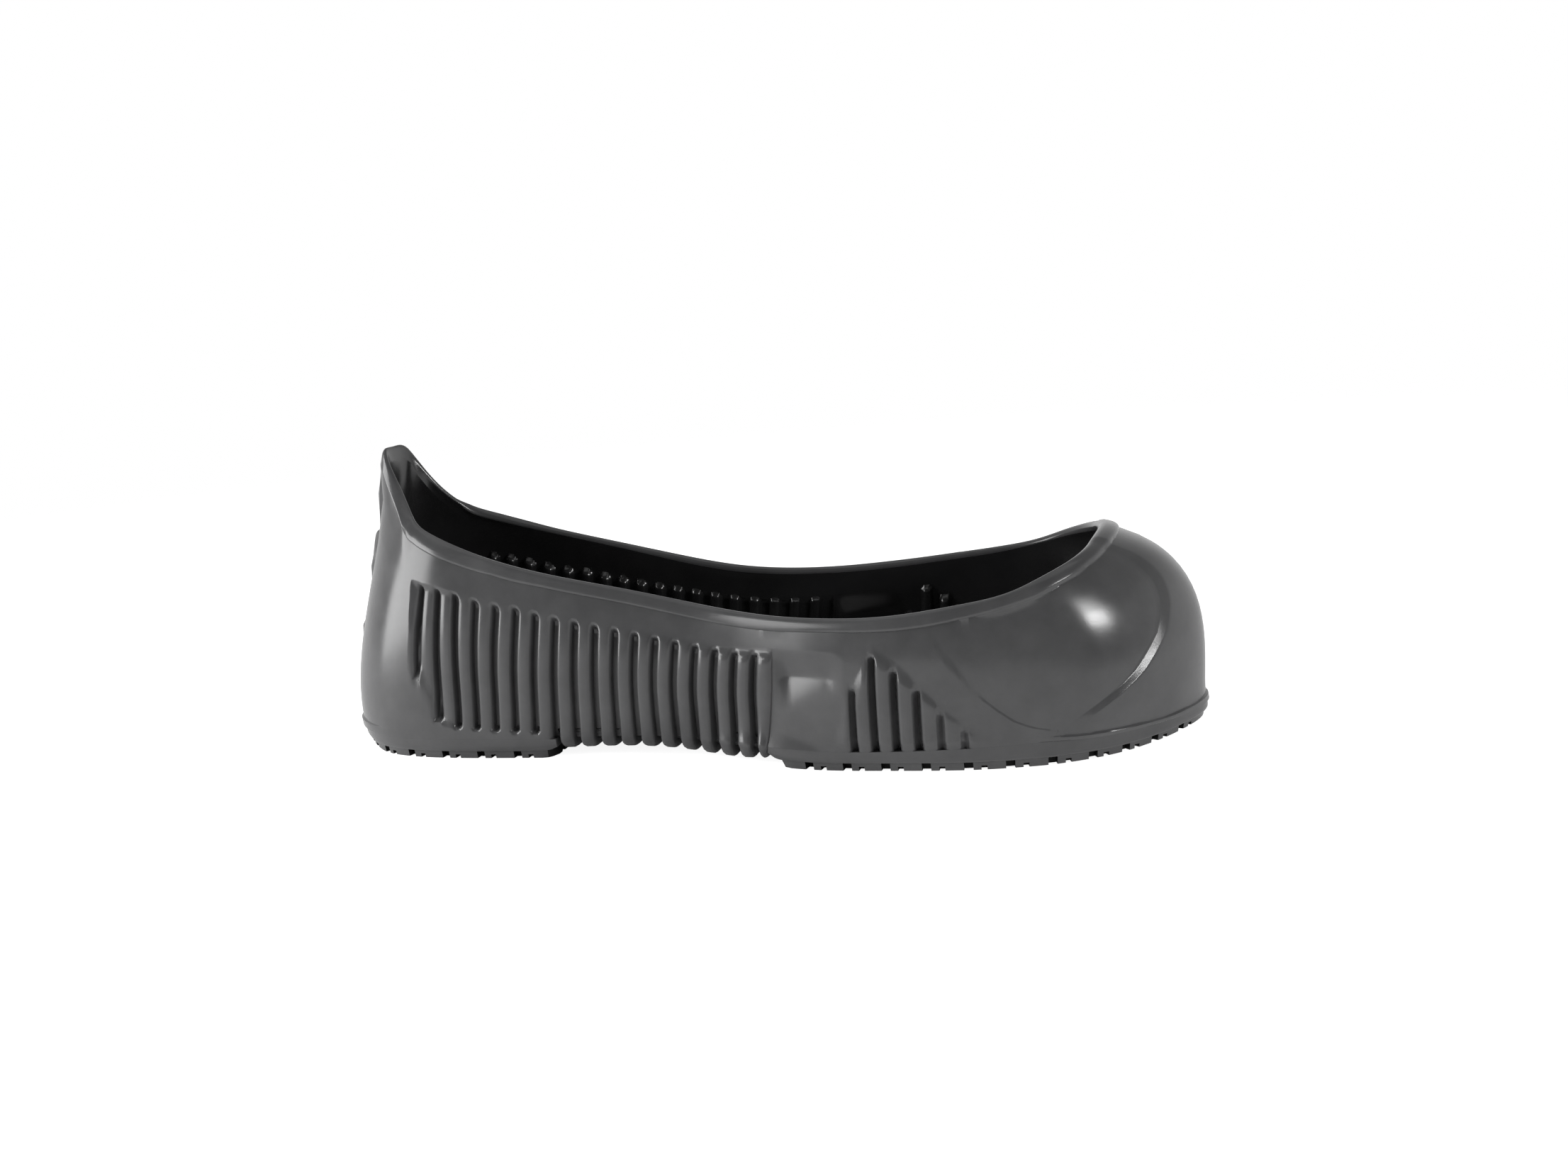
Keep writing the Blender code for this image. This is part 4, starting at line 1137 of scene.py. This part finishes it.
def make_floor():
    """A large round white table top just under the tread."""
    bm = bmesh.new()
    bmesh.ops.create_circle(bm, cap_ends=True, segments=FLOOR_SEGMENTS, radius=FLOOR_RADIUS)
    floor = new_object("floor", bm)
    material, tree, shader = new_material("white table")
    fill_in(shader, Base_Color=FLOOR_WHITE, Roughness=FLOOR_ROUGH, Emission_Color=(1, 1, 1, 1))
    place = tree.nodes.new("ShaderNodeTexCoord")
    shrunk = vector_math(tree, "DIVIDE", place, "Object", SHADE_SIZE)
    across = vector_math(tree, "LENGTH", shrunk, "Vector")
    shade = map_range(tree, across, "Value", SHADE_EDGE, (SHADE_GLOW, FLOOR_GLOW[0]), smooth=True)
    path = tree.nodes.new("ShaderNodeLightPath")
    glow = map_range(tree, path, "Is Camera Ray", (0, 1), FLOOR_GLOW)
    link(tree, shade, "Result", glow, "To Min")
    link(tree, glow, "Result", shader, "Emission Strength")
    away = vector_math(tree, "LENGTH", place, "Object")
    fade = map_range(tree, away, "Value", FLOOR_FADE, (0, 1), smooth=True)
    clear = tree.nodes.new("ShaderNodeBsdfTransparent")
    mix = tree.nodes.new("ShaderNodeMixShader")
    link(tree, fade, "Result", mix, "Fac")
    link(tree, shader, "BSDF", mix, 1)
    link(tree, clear, "BSDF", mix, 2)
    link(tree, mix, "Shader", tree.nodes["Material Output"], "Surface")
    floor.data.materials.append(material)


make_floor()
print("floor radius:", FLOOR_RADIUS, "m")

# %% Lights
# name, azimuth from the near side towards the toe, elevation, distance, width, height, watts
LIGHTS = (
    ("overhead", 0, 88, 1.3, 1.6, 1.2, 2.5),
    ("right box", 64, 16, 1.1, 0.29, 0.12, 2.9),
    ("left box", -66.5, 15, 1.1, 0.6, 0.78, 9.6),
)
AIM = Vector((0.0, 0.0, 0.035))
WORLD_NEAR = 0.12  # light from the camera's side, which is dark
WORLD_FAR = 0.8  # and from the white screen behind
WORLD_TURN = (-0.5, 0.4)  # where one passes into the other, from -1 at the camera's side to 1 behind
WORLD_TOP = 0.3  # share of it that comes from above
WORLD_RISE = (0.1, 0.7)  # sines of the elevations between which it falls to that share
BACKGROUND = 1.0


def soft_box(name, azimuth, elevation, distance, width, height, watts):
    """A rectangular area light that faces the shoe."""
    light = bpy.data.lights.new(name, "AREA")
    light.shape = "RECTANGLE"
    light.size = width
    light.size_y = height
    light.energy = watts
    az = math.radians(azimuth)
    el = math.radians(elevation)
    away = Vector((math.sin(az) * math.cos(el), -math.cos(az) * math.cos(el), math.sin(el)))
    lamp = new_object(name, light)
    lamp.location = AIM + away * distance
    lamp.rotation_euler = away.to_track_quat("Z", "Y").to_euler()


for row in LIGHTS:
    soft_box(*row)


def make_world():
    """White for the camera. All else is lit mostly from behind, less from the front and from above."""
    world = bpy.data.worlds.new("studio")
    world.use_nodes = True
    tree = world.node_tree
    fill = tree.nodes["Background"]
    fill_in(fill, Color=(1, 1, 1, 1))
    place = tree.nodes.new("ShaderNodeTexCoord")
    split = tree.nodes.new("ShaderNodeSeparateXYZ")
    link(tree, place, "Generated", split, "Vector")
    behind = map_range(tree, split, "Y", WORLD_TURN, (WORLD_NEAR, WORLD_FAR), smooth=True)
    above = map_range(tree, split, "Z", WORLD_RISE, (1, WORLD_TOP), smooth=True)
    around = tree.nodes.new("ShaderNodeMath")
    around.operation = "MULTIPLY"
    link(tree, behind, "Result", around, 0)
    link(tree, above, "Result", around, 1)
    path = tree.nodes.new("ShaderNodeLightPath")
    strength = tree.nodes.new("ShaderNodeMix")
    fill_in(strength, B=BACKGROUND)
    link(tree, path, "Is Camera Ray", strength, "Factor")
    link(tree, around, "Value", strength, "A")
    link(tree, strength, "Result", fill, "Strength")
    bpy.context.scene.world = world


make_world()
print("lights:", [row[0] for row in LIGHTS])

# %% [markdown]
# ## Camera
# The camera stands at the near side, a little towards the toe, and looks down on the shoe. Its place, its
# turn and its small roll were worked out from the ribs, whose even pitch fixes the perspective. The
# photograph is 2212 pixels wide.

# %% Camera
CAMERA_PLACE = Vector((0.14725, -0.5083, 0.1478))
CAMERA_AZIMUTH = math.radians(14.97)
CAMERA_ELEVATION = math.radians(10.68)
CAMERA_ROLL = math.radians(4.88)
FOCAL_PIXELS = 2241.0
PHOTO_WIDTH = 2212.0
SENSOR = 36.0
CLIP = (0.01, 50)  # the camera sees what lies between these distances


def make_camera():
    """Camera from its place, azimuth, elevation, roll and focal length."""
    flat = math.cos(CAMERA_ELEVATION)
    along_x = math.cos(CAMERA_AZIMUTH)
    along_y = math.sin(CAMERA_AZIMUTH)
    forward = Vector((-along_y * flat, along_x * flat, -math.sin(CAMERA_ELEVATION)))
    level = Vector((along_x, along_y, 0))
    vertical = level.cross(forward)
    right = level * math.cos(CAMERA_ROLL) - vertical * math.sin(CAMERA_ROLL)
    up = level * math.sin(CAMERA_ROLL) + vertical * math.cos(CAMERA_ROLL)
    data = bpy.data.cameras.new("camera")
    data.sensor_width = SENSOR
    data.lens = FOCAL_PIXELS / PHOTO_WIDTH * SENSOR
    data.clip_start, data.clip_end = CLIP
    camera = new_object("camera", data)
    turn = Matrix((right, up, -forward)).transposed().to_4x4()
    camera.matrix_world = Matrix.Translation(CAMERA_PLACE) @ turn
    bpy.context.scene.camera = camera


make_camera()
bpy.context.scene.view_settings.view_transform = "Standard"
print("camera lens: %.2f mm" % (FOCAL_PIXELS / PHOTO_WIDTH * SENSOR))
